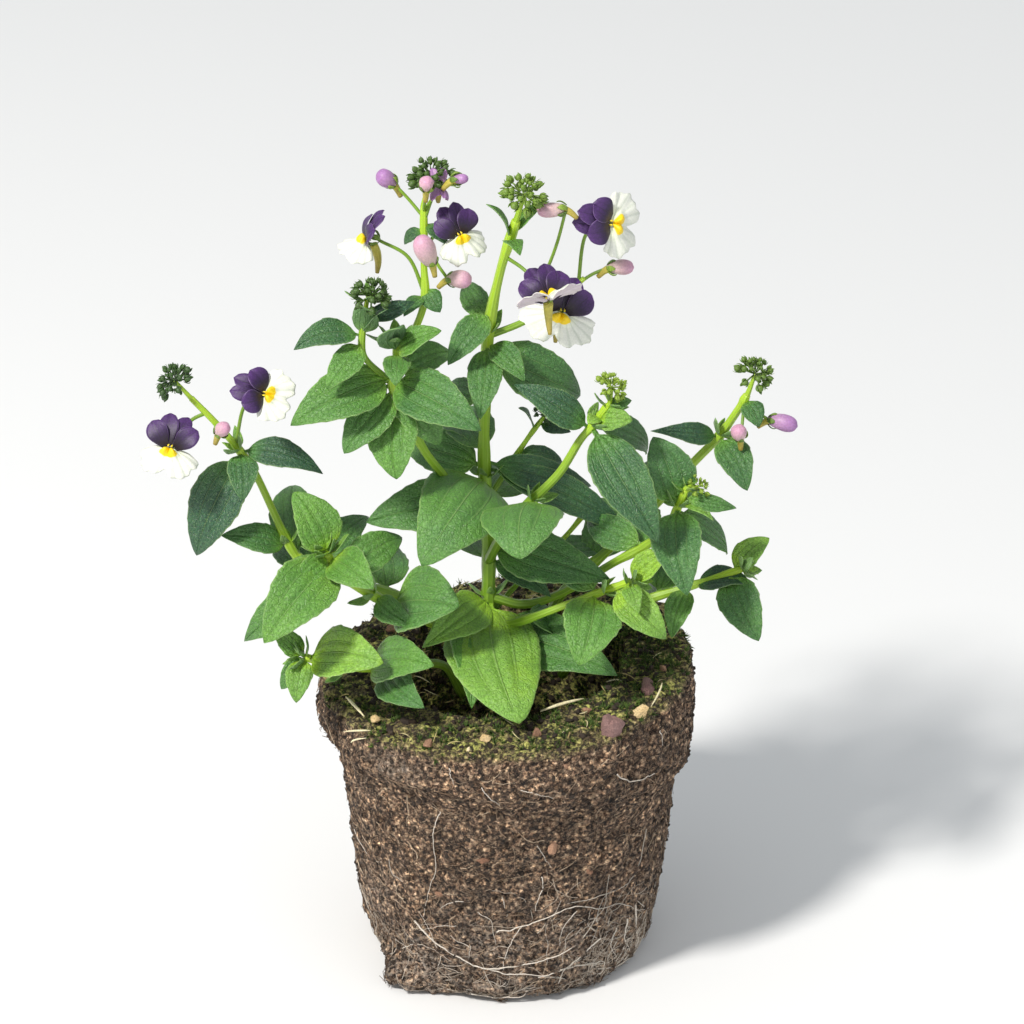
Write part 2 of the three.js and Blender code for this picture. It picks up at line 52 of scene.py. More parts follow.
# The plant's shoots, from root to tip, with the radius at both ends.
SHOOTS = {
    "main": ((1.6, 1.0), [(-4, 0, 74), (-5, 0, 100), (-5, 0, 119), (-6, 0, 135), (-6, -2, 154),
                          (-5, -5, 178), (-2, -8, 197), (2, -12, 213)]),
    "side": ((1.0, 0.7), [(-5, -5, 178), (4, -3, 181), (12, -2, 186), (19, -3, 193)]),
    "a": ((1.3, 0.8), [(-6, 0, 119), (-11, -4, 128), (-15, -8, 138), (-21, -12, 149),
                       (-26, -14, 161), (-29, -14, 170), (-25, -10, 178), (-21, -7, 188),
                       (-21, -4, 198), (-21, -1, 212)]),
    "b": ((1.3, 0.8), [(-5, -1, 112), (0, -12, 128), (6, -16, 137), (13, -16, 145),
                       (18, -16, 154), (21, -16, 158), (25, -16, 164)]),
    "c": ((1.2, 0.8), [(-5, 0, 93), (0, -8, 97), (8, -14, 103), (17, -16, 108),
                       (24, -18, 112), (31, -20, 116)]),
    "d": ((1.2, 0.8), [(14, 4, 75), (22, 0, 92), (32, -5, 101), (44, -6, 106),
                       (52, -6, 109), (60, -6, 112)]),
    "e": ((1.3, 0.8), [(-5, 0, 101), (4, -1, 99), (14, -4, 104), (27, -10, 116),
                       (35, -12, 122), (40, -14, 128), (43, -14, 134), (45, -14, 139)]),
    "f": ((1.4, 0.9), [(6, 10, 75), (12, 11, 92), (18, 10, 101), (25, 10, 108),
                       (34, 10, 118), (48, 8, 136), (54, 8, 143), (59, 8, 151), (61, 8, 155)]),
    "g": ((1.4, 0.9), [(-5, 0, 88), (-14, -8, 94), (-23, -13, 102), (-34, -17, 110),
                       (-41, -19, 116), (-46, -20, 124)]),
    "h": ((1.4, 0.8), [(-8, 6, 75), (-13, 4, 90), (-28, -1, 101), (-43, -4, 108),
                       (-52, -6, 114), (-56, -6, 119), (-64, -6, 139), (-68, -6, 146),
                       (-74, -6, 154), (-80, -6, 161)]),
    "r": ((1.2, 0.8), [(-12, -6, 75), (-17, -10, 86), (-28, -16, 89), (-41, -20, 91),
                       (-52, -22, 95)]),
}

# Twigs that fork from a shoot: the shoot, the radius at both ends, and their points.
TWIGS = {
    "a_left": ("a", (0.9, 0.6), [(-30, -14, 170), (-36, -16, 178), (-36, -16, 187), (-35, -16, 193)]),
    "a_right": ("a", (0.8, 0.6), [(-28, -14, 171), (-28, -15, 177), (-28, -15, 181)]),
    "main_back": ("main", (0.8, 0.5), [(-6, -1, 128), (0, 4, 136), (5, 5, 144), (9, 5, 150)]),
    "c_side": ("c", (0.8, 0.6), [(-5, 2, 94), (4, 8, 102), (14, 10, 112), (20, 10, 120)]),
}

# Leaves: shoot, the numbered point of the shoot it grows from, its tip, width, and then how high the midrib
# arches, how far the edges fall, the turn about its own length in degrees, and its tone, from 0 for the
# blue-green of an old leaf, darkened further as painted shade where the leaf stands in shadow, to 1 for the
# yellow-green of a young one.
LEAVES = [
    ("main", 1.0, (2.8, -42, 88), 25, 0.05, 0.1, 0, 0.82),
    ("main", 0.62, (27, -22, 91), 17, 0.10, 0.0, 38, 0.42),
    ("main", 1.9, (26, -17, 115), 14, 0.10, 0.0, 42, 0.4),
    ("main", 3.0, (-21, -35, 130), 23, 0.22, 0.18, -22, 0.5),
    ("main", 2.6, (-36, -8, 127), 15, 0.14, 0.0, -40, 0.4),
    ("main", 4.9, (-7, -21, 163), 9, 0.08, 0.0, 0, 0.4),
    ("main", 5.35, (-15, -15, 175), 8, 0.12, 0.0, -35, 0.35),
    ("main", 4.8, (19, 4, 157), 15, 0.12, 0.0, 52, 0.25),
    ("a", 5.0, (-7, -33, 166), 14, 0.14, 0.0, 38, 0.36),
    ("a", 5.1, (-54, -26, 164), 14, 0.14, 0.0, -40, 0.5),
    ("a", 4.7, (-41, -26, 156), 11, 0.10, 0.0, -28, 0.4),
    ("a", 4.4, (-28, -27, 149), 13, 0.10, 0.0, 6, 0.55),
    ("b", 2.0, (3, -40, 134), 21, 0.20, 0.16, 4, 0.42),
    ("b", 5.0, (38, -34, 135), 14, 0.10, 0.0, 24, 0.2),
    ("b", 4.9, (2, -16, 170), 9, 0.16, 0.0, -46, 0.05),
    ("c", 3.7, (18, -36, 101), 15, 0.14, 0.0, -10, 0.6),
    ("c", 4.4, (40, -28, 104), 10, 0.12, 0.0, 38, 0.8),
    ("d", 4.6, (64, -20, 99), 11, 0.14, 0.0, 22, 0.3),
    ("e", 6.0, (45, -35, 121), 13, 0.12, 0.0, 4, 0.3),
    ("e", 6.1, (37, -8, 151), 13, 0.14, 0.0, -28, 0.25),
    ("f", 6.0, (61, -4, 134), 9, 0.12, 0.0, 24, 0.3),
    ("g", 4.9, (-54, -15, 139), 12, 0.12, 0.0, -36, 0.65),
    ("g", 4.7, (-61, -42, 111), 16, 0.14, 0.0, -28, 0.6),
    ("g", 4.8, (-34, -36, 123), 11, 0.12, 0.0, 36, 0.65),
    ("g", 4.4, (-68, -22, 100), 12, 0.12, 0.0, -44, 0.45),
    ("g", 4.2, (-27, -7, 122), 10, 0.12, 0.0, 40, 0.45),
    ("g", 2.6, (-13, -29, 114), 19, 0.10, 0.0, 44, 0.4),
    ("r", 3.9, (-32, -35, 101), 14, 0.14, 0.0, 46, 0.85),
    ("r", 2.6, (-20, -36, 101), 13, 0.10, 0.0, 50, 0.6),
    ("h", 5.0, (-73, -10, 124), 8, 0.14, 0.0, -48, 0.35),
    ("h", 7.0, (-47, -10, 142), 8, 0.20, 0.0, 44, 0.03),
    ("h", 6.9, (-80, -12, 119), 14, 0.10, 0.0, -44, 0.03),
]

# Smaller leaves that only the visual model has, in the same form. The last ten stand at the back.
SMALL_LEAVES = [
    ("main", 1.0, (-21, -24, 100), 12, 0.12, 0.0, -36, 0.85),
    ("main", 0.8, (-9, -33, 88), 14, 0.12, 0.0, -10, 0.5),
    ("main", 1.6, (11, -6, 104), 7, 0.10, 0.0, 46, 0.1),
    ("main", 2.0, (-18, 8, 124), 11, 0.12, 0.0, -40, 0.4),
    ("main", 3.2, (33, 2, 116), 10, 0.10, 0.0, 50, 0.1),
    ("main", 3.3, (22, 10, 128), 10, 0.14, 0.0, 50, 0.1),
    ("main", 3.2, (-27, 12, 139), 12, 0.12, 0.0, -46, 0.35),
    ("main", 4.2, (-16, 10, 156), 9, 0.12, 0.0, -40, 0.3),
    ("main", 4.9, (4, -16, 171), 7, 0.12, 0.0, 34, 0.3),
    ("main", 5.2, (-11, 10, 186), 7, 0.12, 0.0, -30, 0.4),
    ("main", 6.6, (-5, -15, 219), 3.5, 0.12, 0.0, -40, 0.5),
    ("main", 6.6, (3, -21, 208), 5, 0.16, 0.0, 0, 0.55),
    ("main", 6.7, (10, -9, 217), 3.5, 0.12, 0.0, 40, 0.6),
    ("a", 4.7, (-17, -20, 155), 10, 0.14, 0.0, 44, 0.5),
    ("a", 4.9, (-43, -10, 160), 9, 0.10, 0.0, -60, 0.05),
    ("a", 5.2, (-14, -4, 173), 9, 0.12, 0.0, 44, 0.4),
    ("a", 7.4, (-17, -10, 187), 5.5, 0.10, 0.0, 42, 0.3),
    ("a", 7.2, (-26, -12, 187), 4, 0.10, 0.0, -20, 0.2),
    ("a", 8.6, (-26, -2, 202), 4, 0.16, 0.0, -30, 0.1),
    ("a", 8.7, (-15, -4, 203), 4, 0.16, 0.0, 30, 0.15),
    ("b", 5.1, (36, 0, 142), 8, 0.12, 0.0, 70, 0.15),
    ("b", 5.4, (31, -20, 162), 7, 0.20, 0.0, 44, 0.9),
    ("b", 5.5, (20, -20, 161), 4, 0.16, 0.0, -20, 0.9),
    ("b", 5.9, (31, -15, 165), 4, 0.16, 0.0, 40, 0.5),
    ("c", 3.8, (15, -8, 119), 9, 0.12, 0.0, -34, 0.3),
    ("c", 5.0, (41, -19, 125), 7, 0.10, 0.0, 50, 0.9),
    ("c", 4.9, (33, -29, 112), 5, 0.14, 0.0, 16, 0.8),
    ("c", 1.6, (14, 2, 88), 10, 0.12, 0.0, 40, 0.3),
    ("d", 3.3, (42, -15, 97), 7, 0.16, 0.0, -20, 0.5),
    ("d", 4.7, (67, -2, 119), 7, 0.10, 0.0, 42, 0.8),
    ("d", 3.4, (62, -9, 110), 9, 0.08, 0.0, 16, 0.0),
    ("d", 2.4, (30, 14, 96), 10, 0.12, 0.0, 20, 0.3),
    ("e", 5.9, (57, -5, 116), 9, 0.12, 0.0, 50, 0.3),
    ("e", 6.6, (58, -14, 134), 5, 0.14, 0.0, 44, 0.45),
    ("e", 6.3, (52, -19, 133), 3.5, 0.14, 0.0, 20, 0.8),
    ("e", 4.0, (20, 3, 122), 9, 0.12, 0.0, -50, 0.3),
    ("f", 6.0, (37, 0, 149), 6, 0.14, 0.0, -54, 0.05),
    ("f", 7.6, (64, 2, 149), 6, 0.12, 0.0, 22, 0.25),
    ("f", 4.3, (50, 18, 122), 9, 0.12, 0.0, 20, 0.3),
    ("f", 4.3, (22, 20, 130), 9, 0.12, 0.0, -30, 0.3),
    ("g", 4.9, (-54, -30, 120), 7, 0.10, 0.0, -40, 0.6),
    ("g", 3.0, (-24, -27, 107), 7, 0.14, 0.0, 40, 0.4),
    ("r", 4.0, (-60, -21, 103), 6, 0.10, 0.0, -56, 0.75),
    ("r", 4.0, (-54, -31, 87), 7, 0.14, 0.0, -8, 0.75),
    ("r", 3.9, (-58, -26, 88), 6, 0.14, 0.0, -44, 0.4),
    ("r", 2.2, (-22, -38, 90), 11, 0.12, 0.0, 40, 0.35),
    ("h", 7.0, (-67, -17, 138), 8, 0.10, 0.0, 4, 0.15),
    ("h", 3.6, (-60, 12, 112), 9, 0.12, 0.0, -30, 0.3),
    ("h", 3.6, (-36, 12, 118), 9, 0.12, 0.0, 30, 0.3),
    ("a_left", 1.6, (-53, -22, 183), 8, 0.14, 0.0, -30, 0.1),
    ("a_left", 1.6, (-36, -22, 195), 7, 0.08, 0.0, -20, 0.45),
    ("a_left", 1.7, (-30, -20, 193), 5, 0.08, 0.0, 20, 0.15),
    ("a_left", 2.2, (-23, -12, 191), 5, 0.10, 0.0, 50, 0.0),
    ("a_left", 1.4, (-45, -26, 174), 8, 0.12, 0.0, -20, 0.5),
    ("a_right", 1.4, (-17, -20, 187), 8, 0.14, 0.0, 40, 0.6),
    ("a_right", 1.4, (-27, -24, 190), 8, 0.10, 0.0, 20, 0.25),
    ("a_right", 1.2, (-28, -26, 175), 7, 0.12, 0.0, 0, 0.5),
    ("main_back", 2.7, (16, 3, 147), 4, 0.10, 0.0, 30, 0.05),
    ("main_back", 2.4, (3, 3, 154), 4, 0.10, 0.0, -20, 0.15),
    ("main_back", 1.4, (14, 8, 136), 7, 0.12, 0.0, 40, 0.1),
    ("c_side", 2.8, (32, 6, 122), 9, 0.12, 0.0, 40, 0.3),
    ("c_side", 2.8, (14, 0, 130), 8, 0.12, 0.0, -20, 0.35),
    ("c_side", 1.6, (26, 20, 104), 9, 0.12, 0.0, 20, 0.3),
    ("main", 1.5, (-14, 32, 104), 15, 0.12, 0.0, 0, 0.3),
    ("main", 2.6, (13, 28, 122), 15, 0.12, 0.0, 8, 0.3),
    ("main", 3.4, (-15, 24, 143), 13, 0.12, 0.0, -8, 0.3),
    ("f", 2.5, (30, 36, 110), 14, 0.12, 0.0, 10, 0.35),
    ("f", 4.2, (42, 31, 127), 13, 0.12, 0.0, -8, 0.35),
    ("h", 2.2, (-34, 25, 104), 14, 0.12, 0.0, 6, 0.35),
    ("h", 4.4, (-56, 19, 124), 12, 0.12, 0.0, -6, 0.35),
    ("a", 3.5, (-25, 13, 156), 12, 0.12, 0.0, 0, 0.3),
    ("e", 3.5, (38, 10, 122), 12, 0.12, 0.0, 0, 0.35),
    ("d", 2.5, (46, 17, 107), 12, 0.12, 0.0, 8, 0.35),
]

# Young leaf rosettes: shoot, size of the outer pair, number of pairs.
ROSETTES = [("c", 7.0, 4), ("g", 8.0, 4), ("r", 7.0, 4), ("d", 6.0, 3), ("b", 5.5, 3), ("e", 4.5, 3),
            ("a_left", 6.0, 3), ("a_right", 7.5, 4), ("c_side", 7.0, 3)]

# Flowers: name, shoot and numbered point the stalk leaves from, throat, the way the face looks and its roll
# about that way, the lip's angle (0 hangs, 90 stands straight out), its cup (over 0 turns its sides up,
# under 0 folds them back), its breadth, how far the upper lobes spread, and the size of the whole.
FLOWERS = [
    ("flower_1", "main", 6.3, (10, -21, 195.5), (0.12, -0.8, 0.6), 12, 110, 0.3, 0.95, 0.72, 1.0),
    ("flower_2", "side", 1.6, (13.3, -11, 187.5), (0.2, -0.9, 0.3), -20, 22, 0.0, 1.0, 0.85, 1.0),
    ("flower_3", "side", 2.8, (25.5, -9, 211), (0.62, -0.72, 0.3), 66, 14, 0.2, 0.85, 0.5, 1.05),
    ("flower_4", "a", 8.2, (-12, -4, 205.4), (0.3, -0.9, 0.3), 16, 35, -0.25, 0.76, 0.72, 0.86),
    ("flower_5", "a", 7.2, (-35, -2, 202.5), (-0.95, -0.15, 0.25), 0, 80, -0.1, 0.75, 0.7, 0.92),
    ("flower_6", "h", 8.4, (-85, -16, 152), (-0.15, -0.85, 0.5), -8, 30, -0.15, 0.85, 0.9, 0.92),
    ("flower_7", "h", 7.2, (-61, -14, 166), (0.5, -0.7, 0.45), 55, 48, 0.3, 0.85, 0.7, 0.9),
]

# Half-open flowers that only the visual model has: shoot and numbered point, throat, look, size.
OPENING_FLOWERS = [("a", 8.7, (-17.2, -3, 218), (0.1, -0.9, 0.3), 0.5)]

# Large buds: name, shoot and numbered point, middle, half size across and along, the way the tip points,
# colour.
BUDS = [
    ("bud_pink_a", "a", 8.0, (-20, -15, 206), (3.2, 5.0), (-0.3, -0.25, 0.9), "pink"),
    ("bud_pink_side", "side", 2.7, (28, -3, 196), (2.3, 3.6), (1.0, -0.2, 0.1), "pink"),
    ("bud_violet_f", "f", 7.5, (70, 6, 148), (2.6, 4.2), (0.9, -0.3, -0.1), "lilac"),
]

# Smaller buds that only the visual model has, in the same form without a name.
SMALL_BUDS = [
    ("side", 1.0, (11, -14, 217), (2.2, 4.0), (-1.0, -0.1, 0.0), "pink"),
    ("a", 8.6, (-12.3, -9, 195.5), (2.7, 3.5), (0.85, -0.35, 0.1), "pink"),
    ("a", 8.8, (-30, 2, 218), (2.6, 3.1), (-0.6, -0.2, 0.6), "lilac"),
    ("a", 8.9, (-20, -8, 221), (2.1, 2.3), (0.1, -0.4, 0.8), "pink"),
    ("a", 8.9, (-12, -6, 221.5), (1.5, 2.4), (0.9, -0.3, 0.2), "lilac"),
    ("f", 7.6, (59, 0, 148), (2.4, 2.6), (-0.1, -0.5, 0.9), "pink"),
    ("h", 8.0, (-72, -12, 155), (2.2, 2.8), (0.4, -0.5, 0.6), "pink"),
]

# Heads of green buds: name of the frame's node or none, shoot, middle, radius, number of buds, tone. A low
# tone is partly painted shade for heads that stand in shadow.
BUD_HEADS = [
    ("bud_head_main", "main", (4, -14, 221), 6.0, 30, 0.75),
    ("bud_head_a", "a", (-19, 1, 219), 6.0, 30, 0.35),
    ("bud_head_b", "b", (26, -16, 169), 4.4, 24, 0.95),
    ("bud_head_f", "f", (63, 8, 161), 5.4, 26, 0.6),
    ("bud_head_h", "h", (-84, -6, 166), 5.4, 26, 0.2),
    (None, "e", (48, -14, 140), 3.4, 18, 0.95),
    (None, "a_left", (-34, -17, 195), 5.6, 26, 0.3),
    (None, "main_back", (9, 5, 151), 3.2, 16, 0.2),
]

# Root ball: height and slope of the soil, radii of the flat foot and the soil, and the outline from the
# middle of the foot up the wall to the middle of the soil, as radius and height.
SOIL_HEIGHT = 82.0
SOIL_SLOPE = 0.08
FOOT_RADIUS = 33.0
SOIL_RADIUS = 47.0
BALL_PROFILE = [(0, 0), (18, 0), (33, 0), (36.5, 1.6), (38.5, 7), (39.6, 16), (40.6, 27), (41.8, 39),
                (43.2, 51), (44.6, 58), (47.6, 62), (49, 67), (49, 75), (47.6, 80.6),
                (43, 82), (30, 82), (15, 82), (0, 82)]

# Camera, from the size and tilt of the root ball in the picture.
CAMERA_TARGET = (1.0, 0.0, 125.4)
CAMERA_DISTANCE = 1400.0
CAMERA_ELEVATION = 27.7
FOCAL_PIXELS = 5457.0
FRAME_PIXELS = 1024.0
SENSOR_MM = 36.0


def unit(v):
    v = np.asarray(v, float)
    return v / np.linalg.norm(v)


def cross_axes(axis, skew):
    """An axis of unit length and two directions across it. Skew is any way that the axis doesn't take."""
    axis = unit(axis)
    side = unit(np.cross(axis, skew))
    return axis, side, np.cross(axis, side)


def level_way(angle):
    return np.array([math.cos(angle), math.sin(angle), 0.0])


def grid_shares(rows, columns):
    """How far along a grid each row lies, from 0 to 1, and how far across each column, from -1 to 1."""
    return np.linspace(0, 1, rows)[:, None], np.linspace(-1, 1, columns)[None, :]


def full_turn(columns):
    return np.linspace(0, 2 * np.pi, columns, endpoint=False)[None, :]


def link_object(name, data):
    made = bpy.data.objects.new(name, data)
    bpy.context.scene.collection.objects.link(made)
    return made


def write_field(mesh, name, values):
    """Writes one value for each point of a mesh."""
    layer = mesh.attributes.get(name) or mesh.attributes.new(name, "FLOAT", "POINT")
    layer.data.foreach_set("value", np.asarray(values, np.float32).ravel())


def smooth(piece):
    piece.data.polygons.foreach_set("use_smooth", [True] * len(piece.data.polygons))


class Spline:
    """A smooth line through its points, counted by point number, as the frame's own shoots are."""

    def __init__(self, points):
        p = np.asarray(points, float)
        self.count = len(p)
        self.points = np.vstack([2 * p[0] - p[1], p, 2 * p[-1] - p[-2]])

    def at(self, number):
        number = min(max(number, 0.0), self.count - 1.0)
        span = min(int(number), self.count - 2)
        t = number - span
        p0, p1, p2, p3 = self.points[span:span + 4]
        start = (p2 - p0) / 2
        end = (p3 - p1) / 2
        return (p1 * (2 * t**3 - 3 * t**2 + 1) + start * (t**3 - 2 * t**2 + t)
                + p2 * (3 * t**2 - 2 * t**3) + end * (t**3 - t**2))

    def line(self, steps):
        return np.array([self.at(i * (self.count - 1) / steps) for i in range(steps + 1)])


LINES = {name: Spline(entry[-1]) for name, entry in (SHOOTS | TWIGS).items()}


def stem_radius(shoot, number):
    low, high = SHOOTS[shoot][0] if shoot in SHOOTS else TWIGS[shoot][1]
    return low + (high - low) * number / (LINES[shoot].count - 1)


class Tissue:
    """Collects the sheets and tubes of one piece until they become one mesh."""

    FIELDS = ("across", "along", "tone", "under", "chance")

    def __init__(self):
        self.points = []
        self.faces = []
        self.kinds = []
        self.fields = {name: [] for name in self.FIELDS}
        self.count = 0

    def add(self, points, faces, kind, **fields):
        """Adds points with their faces. The fields are one value for all or one for each point."""
        points = np.asarray(points, float).reshape(-1, 3)
        self.points.append(points)
        self.faces += [[int(i) + self.count for i in face] for face in faces]
        self.kinds += [kind] * len(faces)
        for name in self.FIELDS:
            value = np.asarray(fields.get(name, 0.0), float).ravel()
            self.fields[name].append(np.broadcast_to(value, (len(points),)))
        self.count += len(points)


def make_object(name, tissue, materials):
    """Turns collected tissue into a mesh object in metres, with its fields as attributes and a UV map."""
    mesh = bpy.data.meshes.new(name)
    co = np.vstack(tissue.points) * MM
    mesh.from_pydata(co.tolist(), [], tissue.faces)
    names = list(dict.fromkeys(tissue.kinds))
    for kind in names:
        mesh.materials.append(materials[kind])
    mesh.polygons.foreach_set("material_index", [names.index(kind) for kind in tissue.kinds])
    fields = {key: np.concatenate(value) for key, value in tissue.fields.items()}
    for key, value in fields.items():
        write_field(mesh, key, value)
    corners = np.zeros(len(mesh.loops), np.int32)
    mesh.loops.foreach_get("vertex_index", corners)
    uv = mesh.uv_layers.new(name="blade")
    flat = np.stack([fields["across"][corners], fields["along"][corners]], 1)
    uv.data.foreach_set("uv", flat.astype(np.float32).ravel())
    mesh.polygons.foreach_set("use_smooth", [kind not in BROKEN_KINDS for kind in tissue.kinds])
    mesh.update()
    return link_object(name, mesh)


def settle(piece, slot, *nodes):
    """Fixes a finished piece to the plant. Nothing of it reaches below the floor."""
    for vertex in piece.data.vertices:
        if vertex.co.z < 0:
            vertex.co.z = 0
    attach(piece, "root")
    if nodes:
        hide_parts(*nodes)
    return piece


def grid_faces(rows, columns, wrap=False, flip=False):
    """Faces of a grid of points. Wrap joins its last column to its first."""
    last = columns if wrap else columns - 1
    r, c = np.meshgrid(np.arange(rows - 1), np.arange(last), indexing="ij")
    a = r * columns + c
    b = r * columns + (c + 1) % columns
    faces = np.stack([a, b, b + columns, a + columns], -1).reshape(-1, 4)
    return faces[:, ::-1] if flip else faces


# A sheet's thickness at its border, and the height of a tube's pointed ends, as shares.
BORDER_SHARE = 0.35
TUBE_END = 0.4


def add_sheet(tissue, surface, thickness, kind, **fields):
    """Adds a thin closed sheet, thinner at its border, from a grid of points on its middle surface."""
    rows, columns = surface.shape[:2]
    normal = np.cross(np.gradient(surface, axis=1), np.gradient(surface, axis=0))
    normal /= np.maximum(np.linalg.norm(normal, axis=2, keepdims=True), 1e-9)
    border = np.full((rows, columns, 1), BORDER_SHARE)
    border[1:-1, 1:-1] = 1.0
    lift = normal * border * thickness / 2
    count = rows * columns
    points = np.concatenate([(surface + lift).reshape(-1, 3), (surface - lift).reshape(-1, 3)])
    index = np.arange(count).reshape(rows, columns)
    ring = np.concatenate([index[0, :-1], index[:-1, -1], index[-1, :0:-1], index[:0:-1, 0]])
    after = np.roll(ring, -1)
    rim = np.stack([ring, after, after + count, ring + count], 1)
    faces = np.concatenate([grid_faces(rows, columns, flip=True), grid_faces(rows, columns) + count, rim])
    both = {key: np.tile(np.broadcast_to(np.asarray(value, float), (rows, columns)).ravel(), 2)
            for key, value in fields.items()}
    both["under"] = np.repeat([0.0, 1.0], count)
    tissue.add(points, faces, kind, **both)


def cap_faces(rows, columns):
    """Faces of a tube of rings, with both ends closed."""
    faces = [list(face) for face in grid_faces(rows, columns, wrap=True)]
    return faces + [list(range(columns - 1, -1, -1)), list(range((rows - 1) * columns, rows * columns))]


def add_tube(tissue, line, radii, sides, kind, ridge=0.0, **fields):
    """Adds a closed tube along a line of points. Ridge squares its section, as the stems have."""
    line = np.asarray(line, float)
    steps = len(line)
    tangents = np.gradient(line, axis=0)
    tangents /= np.linalg.norm(tangents, axis=1, keepdims=True)
    _, across, _ = cross_axes(tangents[0], [0.31, 0.83, 0.46])
    turns = np.arange(sides) * 2 * np.pi / sides
    points = []
    for i in range(steps):
        across = unit(across - tangents[i] * (across @ tangents[i]))
        side = np.cross(tangents[i], across)
        wide = radii[i] * (1 + ridge * np.cos(4 * turns))
        points.append(line[i] + wide[:, None] * (np.cos(turns)[:, None] * across
                                                 + np.sin(turns)[:, None] * side))
    points = np.concatenate(points + [line[:1] - tangents[:1] * radii[0] * TUBE_END,
                                      line[-1:] + tangents[-1:] * radii[-1] * TUBE_END])
    faces = [list(face) for face in grid_faces(steps, sides, wrap=True)]
    start, end = steps * sides, steps * sides + 1
    for i in range(sides):
        j = (i + 1) % sides
        faces.append([start, j, i])
        faces.append([end, (steps - 1) * sides + i, (steps - 1) * sides + j])
    along = np.append(np.repeat(np.linspace(0, 1, steps), sides), [0, 1])
    around = np.append(np.tile(np.arange(sides) / sides, steps), [0, 0])
    tissue.add(points, faces, kind, along=along, across=around, **fields)


# Nodes for materials and geometry.


def put(tree, kind, inputs=None, **settings):
    """Adds a node. Its inputs take a plain value or another node's socket."""
    made = tree.nodes.new(kind)
    for key, value in settings.items():
        setattr(made, key, value)
    for key, value in (inputs or {}).items():
        socket = made.inputs[key]
        if isinstance(value, bpy.types.NodeSocket):
            tree.links.new(value, socket)
        else:
            socket.default_value = value
    return made


def calc(tree, operation, *values, clamp=False):
    made = put(tree, "ShaderNodeMath", dict(enumerate(values)), operation=operation, use_clamp=clamp)
    return made.outputs[0]


def times(tree, a, b):
    return calc(tree, "MULTIPLY", a, b)


def plus(tree, a, b, clamp=False):
    return calc(tree, "ADD", a, b, clamp=clamp)


def minus(tree, a, b):
    return calc(tree, "SUBTRACT", a, b)


def off_middle(tree, value, strength):
    """How far a value from 0 to 1 lies from its middle, times a strength."""
    return times(tree, minus(tree, value, 0.5), strength)


def blend_colour(tree, factor, a, b, mode="MIX"):
    made = put(tree, "ShaderNodeMix", {0: factor, 6: a, 7: b}, data_type="RGBA", blend_type=mode)
    return made.outputs[2]


def tint(tree, colour, other, mask, share):
    """Lays another colour over one where a mask says, as strongly as its share."""
    return blend_colour(tree, times(tree, mask, share), colour, other)


def speckle(tree, colour, grain, dark, light, low=0.3):
    """Darkens and lightens a colour with the fine grain."""
    return blend_colour(tree, 1.0, colour, spread(tree, grain["Grain"], low, 0.7, dark, light), "MULTIPLY")


def field(tree, name):
    return put(tree, "ShaderNodeAttribute", attribute_name=name).outputs["Fac"]


def object_place(tree):
    return put(tree, "ShaderNodeTexCoord").outputs["Object"]


def ramp(tree, factor, stops):
    made = put(tree, "ShaderNodeValToRGB", {0: factor})
    line = made.color_ramp.elements
    while len(line) < len(stops):
        line.new(0.5)
    for element, (place, colour) in zip(line, stops):
        element.position = place
        element.color = (*colour, 1.0)
    return made.outputs[0]


def spread(tree, value, low, high, new_low=0.0, new_high=1.0):
    """Maps a value from one range to another, eased and clamped."""
    made = put(tree, "ShaderNodeMapRange",
               {0: value, 1: low, 2: high, 3: new_low, 4: new_high}, interpolation_type="SMOOTHSTEP")
    return made.outputs[0]


def shader_group(name, inputs, outputs):
    """A group for materials. Its inputs, named with their first values, and its outputs are numbers."""
    tree = bpy.data.node_groups.new(name, "ShaderNodeTree")
    for label, value in inputs.items():
        socket = tree.interface.new_socket(label, in_out="INPUT", socket_type="NodeSocketFloat")
        socket.default_value = value
    for label in outputs:
        tree.interface.new_socket(label, in_out="OUTPUT", socket_type="NodeSocketFloat")
    return tree, tree.nodes.new("NodeGroupInput").outputs, tree.nodes.new("NodeGroupOutput").inputs


def close_group(tree, result, **sockets):
    for label, socket in sockets.items():
        tree.links.new(socket, result[label])
    return tree


def grain_group():
    """Coarse blotches and fine grain at two scales, for colour and for relief."""
    tree, given, result = shader_group("tissue_grain", {"Blotch Scale": 150.0, "Grain Scale": 1500.0},
                                       ["Blotch", "Grain", "Height"])
    place = object_place(tree)
    blotch = put(tree, "ShaderNodeTexNoise",
                 {"Vector": place, "Scale": given["Blotch Scale"], "Detail": 3.0, "Roughness": 0.55})
    grain = put(tree, "ShaderNodeTexNoise",
                {"Vector": place, "Scale": given["Grain Scale"], "Detail": 4.0, "Roughness": 0.65})
    total = plus(tree, times(tree, blotch.outputs[0], 0.4), grain.outputs[0])
    return close_group(tree, result, Blotch=blotch.outputs[0], Grain=grain.outputs[0], Height=total)


